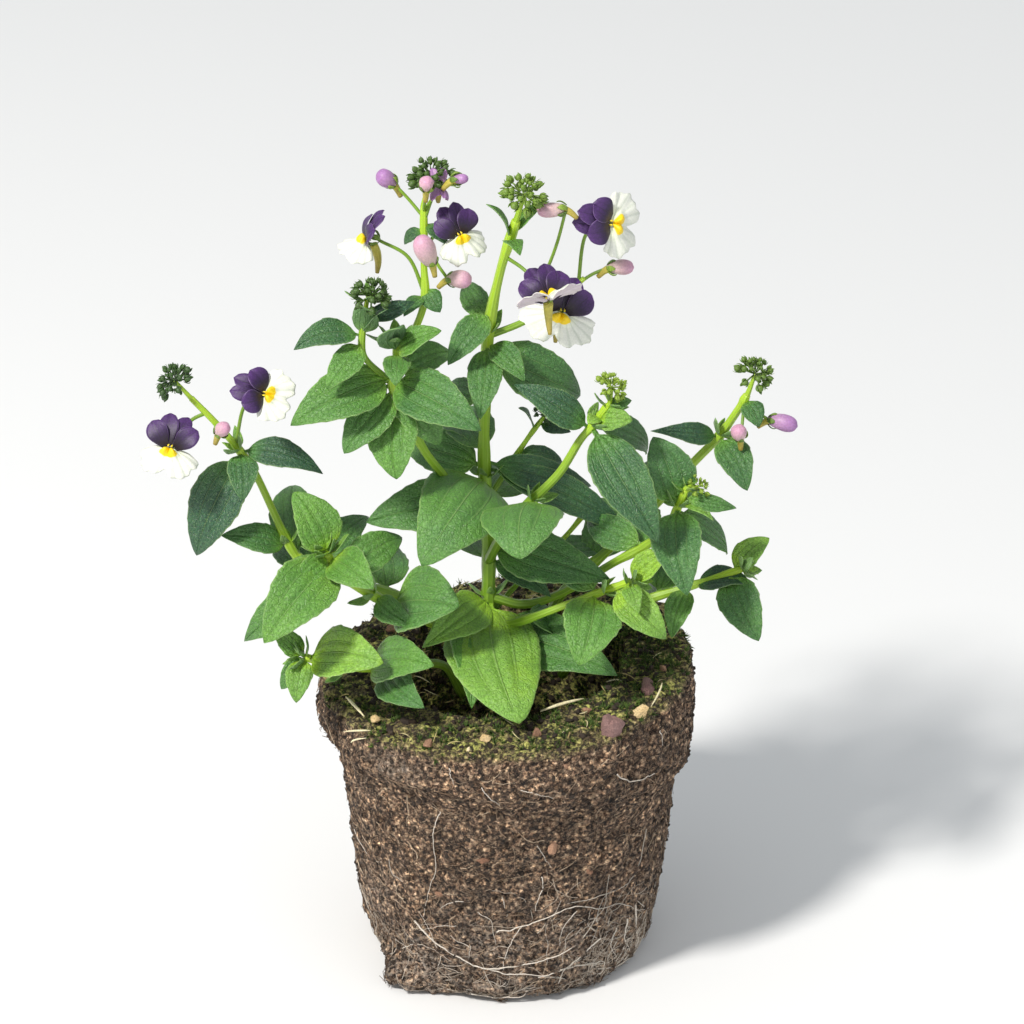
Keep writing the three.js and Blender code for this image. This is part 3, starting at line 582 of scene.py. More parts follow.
def veins_group():
    """Long veins that run from the foot of a blade to its tip, and the fine net between them."""
    tree, given, result = shader_group("blade_veins", {"Vein Width": 0.05, "Net Scale": 14.0},
                                       ["Vein", "Core", "Net", "Rim"])
    across = field(tree, "across")
    along = field(tree, "along")
    aside = calc(tree, "ABSOLUTE", minus(tree, times(tree, across, 2.0), 1.0))
    thin = times(tree, given["Vein Width"], 0.45)
    vein = core = 0.0
    for place, strength, end in zip(VEIN_PLACES, (1.0, 0.75, 0.5), (1.1, 0.9, 0.75)):
        away = calc(tree, "ABSOLUTE", minus(tree, aside, place))
        reach = times(tree, spread(tree, along, end, end - 0.4), strength)
        line = times(tree, spread(tree, away, given["Vein Width"], 0.0), reach)
        middle = times(tree, spread(tree, away, thin, 0.0), times(tree, reach, strength))
        vein = calc(tree, "MAXIMUM", vein, line)
        core = calc(tree, "MAXIMUM", core, middle)
    slant = minus(tree, along, times(tree, aside, 0.35))
    wave = calc(tree, "SINE", times(tree, slant, times(tree, given["Net Scale"], 2 * math.pi)))
    branches = spread(tree, wave, 0.8, 1.0)
    cells = put(tree, "ShaderNodeTexVoronoi", {"Vector": object_place(tree), "Scale": 750.0},
                feature="DISTANCE_TO_EDGE")
    net = calc(tree, "MAXIMUM", times(tree, branches, 0.6),
               times(tree, spread(tree, cells.outputs[0], 0.14, 0.0), 0.7))
    return close_group(tree, result, Vein=vein, Core=core, Net=net, Rim=spread(tree, aside, 0.93, 1.0))


def streaks_group():
    """Short pale fibres that lie every way, as a mask."""
    tree, given, result = shader_group("fibre_streaks", {"Scale": 1300.0, "Edge": 0.6}, ["Streak"])
    place = object_place(tree)
    total = 0.0
    for turn in ((0.4, 1.1, 0.2), (1.3, 0.2, 2.1), (2.2, 1.6, 0.8), (0.9, 2.6, 1.5), (1.7, 1.0, 2.8)):
        turned = put(tree, "ShaderNodeMapping", {"Vector": place, "Rotation": turn, "Scale": (1.0, 1.0, 8.0)},
                     vector_type="TEXTURE")
        lines = put(tree, "ShaderNodeTexNoise",
                    {"Vector": turned.outputs[0], "Scale": given["Scale"], "Detail": 1.0})
        line = spread(tree, lines.outputs[0], given["Edge"], plus(tree, given["Edge"], 0.07))
        total = calc(tree, "MAXIMUM", total, line)
    return close_group(tree, result, Streak=total)


GRAIN = grain_group()
VEINS = veins_group()
STREAKS = streaks_group()


def new_material(name, roughness, subsurface=0.0, glow=(1.0, 1.0, 1.0), sheen=0.0):
    """A material with a Principled shader whose constant values are set on the shader itself."""
    material = bpy.data.materials.new(name)
    material.use_nodes = True
    tree = material.node_tree
    shader = tree.nodes["Principled BSDF"]
    shader.inputs["Roughness"].default_value = roughness
    shader.inputs["Sheen Weight"].default_value = sheen
    shader.inputs["Subsurface Weight"].default_value = subsurface
    shader.inputs["Subsurface Radius"].default_value = glow
    shader.inputs["Subsurface Scale"].default_value = 0.0006
    return material, tree, shader


def finish_material(tree, shader, colour, height, strength, distance=0.0002):
    """Feeds the colour and the relief to the shader. The distance is the relief's depth in metres."""
    tree.links.new(colour, shader.inputs["Base Color"])
    bump = put(tree, "ShaderNodeBump", {"Height": height, "Strength": strength, "Distance": distance})
    tree.links.new(bump.outputs[0], shader.inputs["Normal"])


def group_in(tree, group, *values):
    """Places a group in a material, with its own values for the group's inputs."""
    return put(tree, "ShaderNodeGroup", dict(enumerate(values)), node_tree=group).outputs


# Fine ribs round a stem, and pale rays over the white lip.
STEM_RIBS = 8
LIP_RAYS = 70.0


def leaf_material():
    """Green blades: blue-green where old and, as painted shade, where shaded; yellow-green where young and at
    the foot.
    """
    material, tree, shader = new_material("leaf_blade", 0.4, subsurface=0.12, glow=(0.5, 1.0, 0.2))
    grain = group_in(tree, GRAIN, 110.0, 1500.0)
    veins = group_in(tree, VEINS, 0.05, 14.0)
    # Painted shade: a low tone darkens a leaf that stands in shadow, on top of an old leaf's own blue-green.
    tone = plus(tree, field(tree, "tone"), off_middle(tree, grain["Blotch"], 0.4))
    young_foot = spread(tree, field(tree, "along"), 0.36, 0.02, 0.0, 0.45)
    tone = plus(tree, tone, young_foot, clamp=True)
    colour = ramp(tree, tone, [(0.0, (0.03, 0.095, 0.045)), (0.3, (0.066, 0.185, 0.045)),
                               (0.6, (0.118, 0.285, 0.042)), (0.85, (0.2, 0.39, 0.055)),
                               (1.0, (0.31, 0.53, 0.04))])
    colour = speckle(tree, colour, grain, 0.8, 1.22, 0.35)
    # Painted highlight: tiny pale specks over the blade stand in for glints of light on its pebbled surface.
    painted_glints = put(tree, "ShaderNodeTexNoise", {"Vector": object_place(tree), "Scale": 3000.0, "Detail": 1.0})
    pale = blend_colour(tree, 0.55, colour, (0.4, 0.56, 0.2, 1.0))
    colour = blend_colour(tree, spread(tree, painted_glints.outputs[0], 0.58, 0.72, 0.0, 0.42), colour, pale)
    # Painted shade: the sunken veins and the fine net are darkened as if shade lay in their grooves; the pale
    # midrib core and rim are the leaf's own colour.
    dark = blend_colour(tree, 1.0, colour, (0.5, 0.6, 0.45, 1.0), "MULTIPLY")
    for part, other, share in (("Net", dark, 0.34), ("Vein", dark, 0.6), ("Core", pale, 0.75),
                               ("Rim", pale, 0.7)):
        colour = tint(tree, colour, other, veins[part], share)
    under = blend_colour(tree, 0.45, colour, (0.2, 0.31, 0.17, 1.0))
    colour = blend_colour(tree, field(tree, "under"), colour, under)
    sunk = plus(tree, times(tree, veins["Vein"], 1.5), times(tree, veins["Net"], 0.8))
    height = minus(tree, times(tree, grain["Height"], 1.3), sunk)
    finish_material(tree, shader, colour, height, 0.7, 0.0003)
    tree.links.new(spread(tree, grain["Grain"], 0.3, 0.7, 0.27, 0.45), shader.inputs["Roughness"])
    return material


def stem_material():
    """Green skin, darker at the foot of a stem and yellow-green at its tip, with fine pale ribs."""
    material, tree, shader = new_material("stem_skin", 0.4, subsurface=0.2, glow=(0.5, 1.0, 0.15))
    grain = group_in(tree, GRAIN, 90.0, 1800.0)
    tone = plus(tree, field(tree, "tone"), off_middle(tree, grain["Blotch"], 0.4), clamp=True)
    colour = ramp(tree, tone, [(0.0, (0.05, 0.12, 0.012)), (0.5, (0.2, 0.36, 0.02)),
                               (1.0, (0.42, 0.62, 0.03))])
    ribs = calc(tree, "SINE", times(tree, field(tree, "across"), 2 * math.pi * STEM_RIBS))
    colour = blend_colour(tree, spread(tree, ribs, 0.2, 1.0, 0.0, 0.3), colour, (0.42, 0.6, 0.1, 1.0))
    finish_material(tree, shader, colour, plus(tree, grain["Height"], ribs), 0.3)
    return material


def violet_material():
    """Velvety violet, nearly black at the throat and along the veins, with a pale rim. Lilac beneath."""
    material, tree, shader = new_material("petal_violet", 0.5, 0.05, (0.6, 0.3, 1.0), sheen=0.05)
    grain = group_in(tree, GRAIN, 260.0, 2200.0)
    veins = group_in(tree, VEINS, 0.08, 9.0)
    outwards = spread(tree, field(tree, "along"), 0.1, 1.0)
    edge = plus(tree, outwards, off_middle(tree, grain["Blotch"], 0.5), clamp=True)
    colour = ramp(tree, edge, [(0.0, (0.009, 0.003, 0.012)), (0.45, (0.026, 0.007, 0.056)),
                               (1.0, (0.062, 0.018, 0.12))])
    colour = speckle(tree, colour, grain, 0.75, 1.3, 0.35)
    colour = tint(tree, colour, (0.01, 0.003, 0.016, 1.0), veins["Vein"], 0.6)
    colour = tint(tree, colour, (0.2, 0.12, 0.3, 1.0), veins["Rim"], 0.6)
    pale_foot = spread(tree, field(tree, "along"), 0.75, 0.2)
    lilac = blend_colour(tree, pale_foot, (0.2, 0.09, 0.27, 1.0), (0.6, 0.5, 0.58, 1.0))
    colour = tint(tree, colour, lilac, field(tree, "under"), 0.8)
    finish_material(tree, shader, colour, grain["Height"], 0.35)
    return material


def white_material():
    """The white lip, fluted and greenish towards the throat, where a yellow patch sits. Lilac beneath."""
    material, tree, shader = new_material("petal_white", 0.5, subsurface=0.1, glow=(1.0, 1.0, 0.8))
    grain = group_in(tree, GRAIN, 220.0, 2400.0)
    under = field(tree, "under")
    rays = calc(tree, "SINE", times(tree, field(tree, "across"), LIP_RAYS))
    white = blend_colour(tree, spread(tree, rays, 0.3, 1.0, 0.0, 0.6), (0.8, 0.81, 0.72, 1.0),
                         (0.6, 0.64, 0.54, 1.0))
    white = speckle(tree, white, grain, 0.9, 1.04)
    near = spread(tree, field(tree, "along"), 0.55, 0.25)
    colour = tint(tree, white, (0.7, 0.78, 0.42, 1.0), near, 0.35)
    lavender = blend_colour(tree, grain["Blotch"], (0.46, 0.34, 0.45, 1.0), (0.78, 0.7, 0.72, 1.0))
    colour = tint(tree, colour, lavender, under, 0.85)
    patch = plus(tree, field(tree, "tone"), off_middle(tree, grain["Blotch"], 0.35))
    yellow = blend_colour(tree, grain["Grain"], (0.85, 0.46, 0.005, 1.0), (0.97, 0.8, 0.01, 1.0))
    above = times(tree, spread(tree, patch, 0.38, 0.55), minus(tree, 1.0, under))
    colour = blend_colour(tree, above, colour, yellow)
    height = plus(tree, grain["Height"], times(tree, rays, 0.6))
    finish_material(tree, shader, colour, height, 0.35)
    return material


def two_tone_material(name, low, high, roughness, relief=0.25):
    """A soft tissue that runs from one colour at its foot to another at its tip."""
    material, tree, shader = new_material(name, roughness, subsurface=0.15, glow=(1.0, 0.8, 0.5))
    grain = group_in(tree, GRAIN, 200.0, 2000.0)
    mixed = plus(tree, field(tree, "along"), off_middle(tree, grain["Blotch"], 0.5), clamp=True)
    colour = speckle(tree, blend_colour(tree, mixed, (*low, 1.0), (*high, 1.0)), grain, 0.85, 1.12)
    finish_material(tree, shader, colour, grain["Height"], relief)
    return material


def bud_green_material():
    """Young buds and sepals, each in its own shade of green; in the bud heads a low tone is partly painted
    shade.
    """
    material, tree, shader = new_material("bud_green", 0.5, subsurface=0.2, glow=(0.6, 1.0, 0.2))
    grain = group_in(tree, GRAIN, 300.0, 2600.0)
    tone = plus(tree, field(tree, "tone"), off_middle(tree, field(tree, "chance"), 0.4), clamp=True)
    colour = ramp(tree, tone, [(0.0, (0.04, 0.085, 0.02)), (0.5, (0.13, 0.22, 0.03)),
                               (1.0, (0.36, 0.5, 0.05))])
    finish_material(tree, shader, speckle(tree, colour, grain, 0.75, 1.2), grain["Height"], 0.3)
    return material


def peat_material():
    """Moist fibrous peat: dark brown crumbs with painted shade in the pits between them, tan fibres, a pale
    bloom of fine roots and moss on top.
    """
    material, tree, shader = new_material("peat_body", 0.9)
    grain = group_in(tree, GRAIN, 55.0, 850.0)
    clods = group_in(tree, GRAIN, 230.0, 420.0)
    streaks = group_in(tree, STREAKS, 1500.0, 0.65)["Streak"]
    crumbs = put(tree, "ShaderNodeTexVoronoi", {"Vector": object_place(tree), "Scale": 880.0})
    colour = ramp(tree, grain["Grain"], [(0.4, (0.02, 0.012, 0.008)), (0.46, (0.13, 0.082, 0.055)),
                                         (0.55, (0.31, 0.21, 0.142)), (0.66, (0.7, 0.54, 0.38))])
    own_shade = ramp(tree, crumbs.outputs["Color"], [(0.2, (0.5, 0.44, 0.4)), (0.5, (1.0, 0.94, 0.9)),
                                                     (0.8, (1.75, 1.6, 1.4))])
    # Painted shade: each crumb darkens towards its edge, as if shade lay in the pits between crumbs.
    painted_pit_shade = spread(tree, crumbs.outputs["Distance"], 0.35, 0.75, 1.1, 0.3)
    shade = times(tree, spread(tree, clods["Blotch"], 0.36, 0.62, 0.55, 1.3),
                  spread(tree, grain["Blotch"], 0.3, 0.7, 0.8, 1.25))
    for factor in (own_shade, painted_pit_shade, shade):
        colour = blend_colour(tree, 1.0, colour, factor, "MULTIPLY")
    tan = blend_colour(tree, clods["Grain"], (0.26, 0.155, 0.09, 1.0), (0.58, 0.43, 0.29, 1.0))
    colour = tint(tree, colour, tan, streaks, 0.7)
    pale = times(tree, field(tree, "tone"), spread(tree, grain["Grain"], 0.4, 0.6))
    colour = tint(tree, colour, (0.6, 0.53, 0.46, 1.0), pale, 0.6)
    green = times(tree, field(tree, "chance"), spread(tree, clods["Blotch"], 0.4, 0.6, 0.3, 0.95))
    mossy = blend_colour(tree, spread(tree, grain["Grain"], 0.42, 0.62), (0.045, 0.045, 0.017, 1.0),
                         (0.6, 0.6, 0.15, 1.0))
    colour = blend_colour(tree, green, colour, mossy)
    lumps = plus(tree, times(tree, clods["Grain"], 1.6), grain["Height"])
    pitted = minus(tree, lumps, times(tree, crumbs.outputs["Distance"], 0.9))
    height = plus(tree, times(tree, streaks, 0.5), pitted)
    finish_material(tree, shader, colour, height, 1.0, 0.0013)
    return material


def litter_material(name, stops, roughness=0.85, relief=0.3):
    """Fibres, crumbs, moss or chips: each copy takes its own shade of the ramp from the chance field."""
    material, tree, shader = new_material(name, roughness)
    grain = group_in(tree, GRAIN, 400.0, 2500.0)
    mixed = plus(tree, field(tree, "chance"), off_middle(tree, grain["Blotch"], 0.6), clamp=True)
    colour = ramp(tree, mixed, [(i / (len(stops) - 1), stop) for i, stop in enumerate(stops)])
    finish_material(tree, shader, speckle(tree, colour, grain, 0.7, 1.25), grain["Height"], relief, 0.0003)
    return material


# Kinds of tissue whose faces stay flat.
BROKEN_KINDS = {"crumb", "stone_red", "stone_cream", "bark"}

MATERIALS = {
    "leaf": leaf_material(),
    "stem": stem_material(),
    "violet": violet_material(),
    "white": white_material(),
    "yellow": two_tone_material("stamen_yellow", (0.5, 0.4, 0.08), (0.9, 0.7, 0.05), 0.6, relief=0.5),
    "spur": two_tone_material("spur_olive", (0.55, 0.5, 0.08), (0.36, 0.27, 0.05), 0.45),
    "pink": two_tone_material("bud_pink", (0.6, 0.5, 0.4), (0.58, 0.3, 0.43), 0.5),
    "lilac": two_tone_material("bud_violet", (0.45, 0.27, 0.42), (0.36, 0.17, 0.4), 0.45),
    "green_bud": bud_green_material(),
    "peat": peat_material(),
    "fibre": litter_material("peat_fibre", [(0.07, 0.04, 0.024), (0.2, 0.125, 0.076), (0.36, 0.25, 0.165),
                                            (0.66, 0.52, 0.37)]),
    "crumb": litter_material("peat_crumb", [(0.025, 0.016, 0.01), (0.12, 0.075, 0.05), (0.28, 0.19, 0.13),
                                            (0.42, 0.22, 0.12), (0.72, 0.55, 0.36)], relief=0.8),
    "moss": litter_material("moss_green", [(0.06, 0.11, 0.015), (0.24, 0.36, 0.035), (0.5, 0.62, 0.08),
                                           (0.88, 0.88, 0.26)]),
    "root": litter_material("root_pale", [(0.26, 0.19, 0.13), (0.5, 0.41, 0.32), (0.8, 0.73, 0.64)], 0.7),
    "straw": litter_material("straw_dry", [(0.36, 0.26, 0.1), (0.56, 0.46, 0.2), (0.78, 0.7, 0.46)], 0.7),
    "stone_red": litter_material("stone_red", [(0.2, 0.1, 0.09), (0.36, 0.22, 0.2)], 0.85, 1.0),
    "stone_cream": litter_material("stone_cream", [(0.5, 0.31, 0.1), (0.8, 0.66, 0.42)], 0.85, 1.0),
    "bark": litter_material("bark_chip", [(0.17, 0.08, 0.045), (0.42, 0.24, 0.15)], 0.85, 1.0),
}


# Leaves. The stalk's length and the place of the greatest width are shares of the whole leaf, a leaf starts
# at a share of its stem's radius, and grooves and waves are shares of its width.

LEAF_STALK = 0.07
LEAF_WIDEST = 0.36
LEAF_SEAT = 0.6
TOOTH_SPACING = 3.6
BROAD_LEAF = 16.0
GROOVE_WIDTH = 0.1
GROOVE_DEPTH = 0.042
EDGE_WAVE = 0.022


def both_halves(half):
    """The columns of a blade from edge to edge, from those of its right half."""
    return np.array([-column for column in half] + [0] + list(half[::-1]), float)


# Sheets for leaves of more than a length: that length, the columns, the number of rows and the thickness.
LEAF_GRIDS = [
    (13, both_halves([1.0, 0.9, 0.78, 0.62, 0.48, 0.42, 0.36, 0.28, 0.16, 0.06]), 29, 0.4),
    (8, both_halves([1.0, 0.78, 0.6, 0.42, 0.2]), 21, 0.3),
    (0, both_halves([1.0, 0.6, 0.25]), 11, 0.25),
]

# Young leaves in the axil of a pair: their length and how far they open in degrees.
AXIL_PAIRS = [(6.5, 46), (4.5, 26)]


def leaf_outline(s, ratio):
    """Half width along a blade, 1 at its widest. Broad blades have a rounder foot than narrow ones."""
    blade = np.clip((s - LEAF_STALK) / (1 - LEAF_STALK), 0, 1)
    power = math.log(0.5) / math.log(LEAF_WIDEST)
    fullness = np.interp(ratio, [0.3, 0.55], [0.95, 0.66])
    outline = np.sin(np.pi * blade**power) ** fullness
    return np.maximum(outline, np.where(s < 0.5, 0.09, 0.015))


def leaf_surface(base, tip, up, width, arch, fold, rng, columns, rows):
    """A leaf's middle surface: a toothed outline, an arched midrib, sunken veins and a wavy edge."""
    chord = tip - base
    length = np.linalg.norm(chord)
    along = chord / length
    up = unit(up - along * (up @ along))
    side = np.cross(along, up)
    s = np.linspace(0, 1, rows)[:, None]
    q = columns[None, :]
    teeth = max(4, round(length / TOOTH_SPACING))
    step = (teeth * s + rng.random()) % 1.0
    ease = np.clip((s - 0.16) / 0.12, 0, 1) * np.clip((0.97 - s) / 0.08, 0, 1)
    tooth = 0.035 if width > BROAD_LEAF else 0.06
    outline = leaf_outline(s, width / length) * (1 + tooth * ease * (step**1.5 - 0.4) * np.abs(q) ** 4)
    across = q * width / 2 * outline
    swell = np.sin(np.pi * s) ** 0.6
    groove = 0
    for place, depth, end in zip(VEIN_PLACES, (1.0, 0.9, 0.6), (1.2, 0.95, 0.8)):
        reach = np.clip((end - s) / 0.35, 0, 1)
        groove = groove + np.exp(-((np.abs(q) - place) / GROOVE_WIDTH) ** 2) * depth * reach
    wave = np.sin(2 * np.pi * (rng.uniform(1.6, 2.6) * s + rng.random()) + 1.5 * np.sign(q))
    rise = arch * length * 4 * s * (1 - s)
    rise = rise - rng.uniform(0.3, 0.8) * length * np.clip(s - 0.7, 0, 1) ** 2
    rise = rise - fold * np.abs(across) - GROOVE_DEPTH * width * groove * swell
    rise = rise + rng.uniform(0.0, 0.07) * width * np.abs(q) ** 1.6 * swell * (1 if fold < 0.05 else -0.5)
    rise = rise + EDGE_WAVE * width * np.abs(q) ** 2.5 * wave * swell
    bend = rng.uniform(-0.07, 0.07) * length * 4 * s * (1 - s)
    twist = rng.uniform(-0.3, 0.3) * (s - 0.3)
    flat = across * np.cos(twist)
    rise = rise + across * np.sin(twist)
    return (base + chord * s[..., None] + side * (flat + bend)[..., None]
            + up * np.broadcast_to(rise, flat.shape)[..., None])


def add_leaf(tissue, base, tip, up, width, arch, fold, tone, seed):
    """A leaf between two points, with its upper side towards up."""
    rng = np.random.default_rng(seed)
    length = np.linalg.norm(tip - base)
    columns, rows, thickness = next(grid[1:] for grid in LEAF_GRIDS if length > grid[0])
    surface = leaf_surface(base, tip, up, width, arch, fold, rng, columns, rows)
    add_sheet(tissue, surface, thickness, "leaf", across=(columns[None, :] + 1) / 2,
              along=np.linspace(0, 1, rows)[:, None], tone=tone + rng.uniform(-0.06, 0.06),
              chance=rng.random())


def grow_leaf(tissue, leaf, seed):
    """Adds one leaf of the tables to its shoot."""
    shoot, number, tip, width, arch, fold, roll, tone = leaf
    centre = LINES[shoot].at(number)
    tip = np.array(tip, float)
    along = unit(tip - centre)
    base = centre + along * stem_radius(shoot, number) * LEAF_SEAT
    up = unit(UP - along * along[2])
    turn = math.radians(roll)
    up = up * math.cos(turn) + np.cross(along, up) * math.sin(turn)
    add_leaf(tissue, base, tip, up, width, arch, fold, tone, seed)


def add_young_pair(tissue, centre, axis, reach, open_angle, turn, tone, seed):
    """Two opposite young leaves round a shoot's axis."""
    axis, side, other = cross_axes(axis, [0.2, 0.9, 0.4])
    for half in (0, 1):
        angle = turn + math.pi * half
        out = side * math.cos(angle) + other * math.sin(angle)
        along = axis * math.cos(open_angle) + out * math.sin(open_angle)
        up = axis * math.sin(open_angle) - out * math.cos(open_angle)
        base = centre + out * 0.5
        add_leaf(tissue, base, base + along * reach, up, reach * 0.5, -0.1, 0.0, tone, seed + half)


def add_rosette(tissue, centre, axis, size, pairs, seed):
    """The young leaves at the end of a shoot: crossed pairs, smaller and steeper inwards."""
    for k in range(pairs):
        share = k / pairs
        place = centre + unit(axis) * (k * 0.7)
        open_angle = math.radians(68 - 46 * share)
        add_young_pair(tissue, place, axis, size * (1 - 0.65 * share), open_angle,
                       k * math.pi / 2 + 0.3, 0.8 + 0.15 * share, seed + 10 * k)


def end_axis(shoot):
    """The way a shoot points at its end."""
    line = LINES[shoot]
    return unit(line.at(line.count - 1) - line.at(line.count - 1.6))


def build_leaves():
    """Leaves of each shoot and its twigs, the young pairs in their axils and the rosettes at their ends."""
    for order, name in enumerate(SHOOTS):
        tissue = Tissue()
        family = [name] + [twig for twig, (parent, _, _) in TWIGS.items() if parent == name]
        own = [leaf for leaf in LEAVES if leaf[0] == name]
        more = [leaf for leaf in SMALL_LEAVES if leaf[0] in family]
        for i, leaf in enumerate(own + more):
            grow_leaf(tissue, leaf, 100 * order + i)
        for i, number in enumerate(sorted({round(leaf[1]) for leaf in own})):
            axis = LINES[name].at(number + 0.3) - LINES[name].at(number - 0.3)
            for k, (reach, angle) in enumerate(AXIL_PAIRS):
                add_young_pair(tissue, LINES[name].at(number + 0.05), axis, reach, math.radians(angle),
                               1.3 * i + 0.4 + k * math.pi / 2, 0.8 + 0.1 * k, 100 * order + 80 + i + 10 * k)
        for shoot, size, pairs in ROSETTES:
            if shoot in family:
                line = LINES[shoot]
                add_rosette(tissue, line.at(line.count - 1), end_axis(shoot), size, pairs, 100 * order + 90)
        if tissue.count:
            piece = make_object(f"leaves_{name}", tissue, MATERIALS)
            settle(piece, "leaf", *[f"leaf_{name}_{i + 1}" for i in range(len(own))])


# A stem's sides and its rings for each point of its line, and how far a node of leaves swells it.
STEM_SIDES = 14
STEM_RINGS = 9
NODE_SWELL = 0.3


def add_stem(tissue, name, radii, points):
    """One stem or twig, squared, and swollen where its leaves stand."""
    low, high = radii
    steps = STEM_RINGS * (len(points) - 1)
    plain = np.linspace(low, high, steps + 1)
    thick = plain
    for leaf in LEAVES + SMALL_LEAVES:
        if leaf[0] == name:
            away = (np.arange(steps + 1) - leaf[1] * STEM_RINGS) / 2.4
            thick = np.maximum(thick, plain * (1 + NODE_SWELL * np.exp(-(away**2))))
    tone = np.append(np.repeat(np.linspace(0.3, 0.95, steps + 1), STEM_SIDES), [0.3, 0.95])
    add_tube(tissue, LINES[name].line(steps), thick, STEM_SIDES, "stem", ridge=0.07, tone=tone)


def add_neck(tissue, shoot, middle):
    """The thin end of a stem that carries a head of buds."""
    line = LINES[shoot]
    end = line.at(line.count - 1)
    axis = end_axis(shoot)
    wide = stem_radius(shoot, line.count - 1)
    path = Spline([end - axis * 1.5, end + axis * 0.8, np.array(middle, float)]).line(10)
    radii = wide * np.interp(np.linspace(0, 1, 11), [0, 0.4, 1], [1.0, 0.85, 0.5])
    add_tube(tissue, path, radii, 10, "stem", tone=0.85)


def build_stems():
    """Squared green stems, swollen where a pair of leaves stands, with the twigs that fork from them."""
    for name, (radii, points) in SHOOTS.items():
        tissue = Tissue()
        add_stem(tissue, name, radii, points)
        family = [name]
        for twig, (parent, thin, path) in TWIGS.items():
            if parent == name:
                add_stem(tissue, twig, thin, path)
                family.append(twig)
        for _, shoot, middle, _, _, _ in BUD_HEADS:
            if shoot in family:
                add_neck(tissue, shoot, middle)
        settle(make_object(f"stem_skin_{name}", tissue, MATERIALS), "shoot", f"stem_{name}")


# Flowers, in their own axes: x to the right and y up across the face, z out of it.

# Upper lobes: foot, tip, width, and how far in degrees each leans out of the face.
UPPER_PETALS = [
    ((-0.6, 0.4), (-2.9, 9.4), 5.4, -10),
    ((0.6, 0.4), (2.9, 9.4), 5.4, -10),
    ((-1.2, 0.0), (-7.3, 6.3), 6.3, 4),
    ((1.2, 0.0), (7.3, 6.3), 6.3, 4),
]

# The lip's length, half the angle that it spans and the share of its length at which it starts.
LIP_REACH = 9.8
LIP_SPAN = math.radians(100)
LIP_FOOT = 0.03

# Where the stalk meets the flower, and where it bends behind it.
NECK = (0.0, 1.2, -2.8)
STALK_BEND = (0.0, 3.0, -7.0)


class Face:
    """A flower's own axes, scaled and rolled about the way it looks."""

    def __init__(self, throat, look, scale=1.0, roll=0.0):
        self.throat = np.array(throat, float)
        self.scale = scale
        self.out = unit(look)
        level = unit(np.cross(UP, self.out))
        upright = np.cross(self.out, level)
        turn = math.radians(roll)
        self.right = level * math.cos(turn) + upright * math.sin(turn)
        self.up = upright * math.cos(turn) - level * math.sin(turn)

    def place(self, points):
        points = np.asarray(points, float) * self.scale
        return (self.throat + points[..., :1] * self.right + points[..., 1:2] * self.up
                + points[..., 2:3] * self.out)


def upper_petal(root, tip, width, lean, rng):
    """One violet upper lobe as a grid in the flower's own axes: a narrow foot and a broad round end."""
    s, q = grid_shares(15, 11)
    root, tip = np.array(root), np.array(tip)
    chord = tip - root
    reach = np.linalg.norm(chord)
    chord = chord / reach
    side = np.array([chord[1], -chord[0]])
    end = np.sqrt(np.clip(1 - ((s - 0.6) / 0.4) ** 2, 0.004, 1))
    foot = 0.3 + 0.7 * np.sin(np.pi / 2 * np.clip(s / 0.6, 0, 1)) ** 1.3
    half = width / 2 * np.where(s > 0.6, end, foot)
    across = q * half
    ahead = reach * s
    tilt = math.radians(lean)
    wave = np.sin(2 * np.pi * (1.3 * s + rng.random()) + 2 * q)
    z = ahead * math.sin(tilt) + 0.9 * np.sin(np.pi * s) - 0.9 * s**3 + 0.09 * across**2 / (half + 0.5)
    z = z + 0.3 * wave * np.abs(q) ** 2 * s - 0.25 * np.exp(-((q / 0.15) ** 2)) * s
    ahead = ahead * math.cos(tilt)
    x = root[0] + chord[0] * ahead + side[0] * across
    y = root[1] + chord[1] * ahead + side[1] * across
    return np.stack([x, y, np.broadcast_to(z, x.shape)], -1)


def lip_grid(angle, cup, breadth, rng):
    """The broad white lip with a notch in the middle, as a fan that starts at the throat."""
    rows, columns = 19, 45
    r = np.linspace(LIP_FOOT, 1, rows)[:, None]
    turn = np.linspace(-LIP_SPAN, LIP_SPAN, columns)[None, :]
    phase = 6 * rng.random()
    lobes = 1 - 0.34 * np.exp(-((turn / 0.15) ** 2)) - 0.3 * np.clip(np.abs(turn) / LIP_SPAN, 0, 1) ** 5
    frill = 1 + 0.04 * np.sin(9 * turn + phase) + 0.03 * np.sin(21 * turn + phase)
    reach = LIP_REACH * r * (1 + (lobes * frill - 1) * r)
    x = reach * np.sin(turn) * 1.12 * (1 + (breadth * (1 - 0.3 * abs(cup)) - 1) * r)
    y = -reach * np.cos(turn) * 0.84
    cheeks = np.exp(-(((r - 0.22) / 0.16) ** 2)) * np.exp(-(((np.abs(turn) - 0.5) / 0.42) ** 2))
    z = 2.3 * cheeks - 2.2 * r**2.2 + 0.5 * r**2 * np.sin(5 * turn + phase) + 0.28 * r**2 * np.sin(13 * turn)
    z = z + cup * 8.5 * r**1.4 * np.sin(np.abs(turn)) ** 2
    yellow = np.exp(-(((r - 0.19) / 0.2) ** 4)) * np.exp(-((turn / 0.95) ** 4))
    tilt = math.radians(angle)
    ahead = -y * math.sin(tilt) + z * math.cos(tilt)
    fall = y * math.cos(tilt) + z * math.sin(tilt)
    return np.stack([x, fall - 0.1, ahead], -1), yellow


def add_stamens(tissue, face):
    """Two short stamens over the yellow cheeks of the throat."""
    for k in (-1, 1):
        line = face.place(np.array([[0.4 * k, 0.9, -0.6], [0.5 * k, 0.9, 0.4], [0.5 * k, 0.5, 1.1]]))
        add_tube(tissue, line, [0.14, 0.14, 0.24], 6, "yellow")


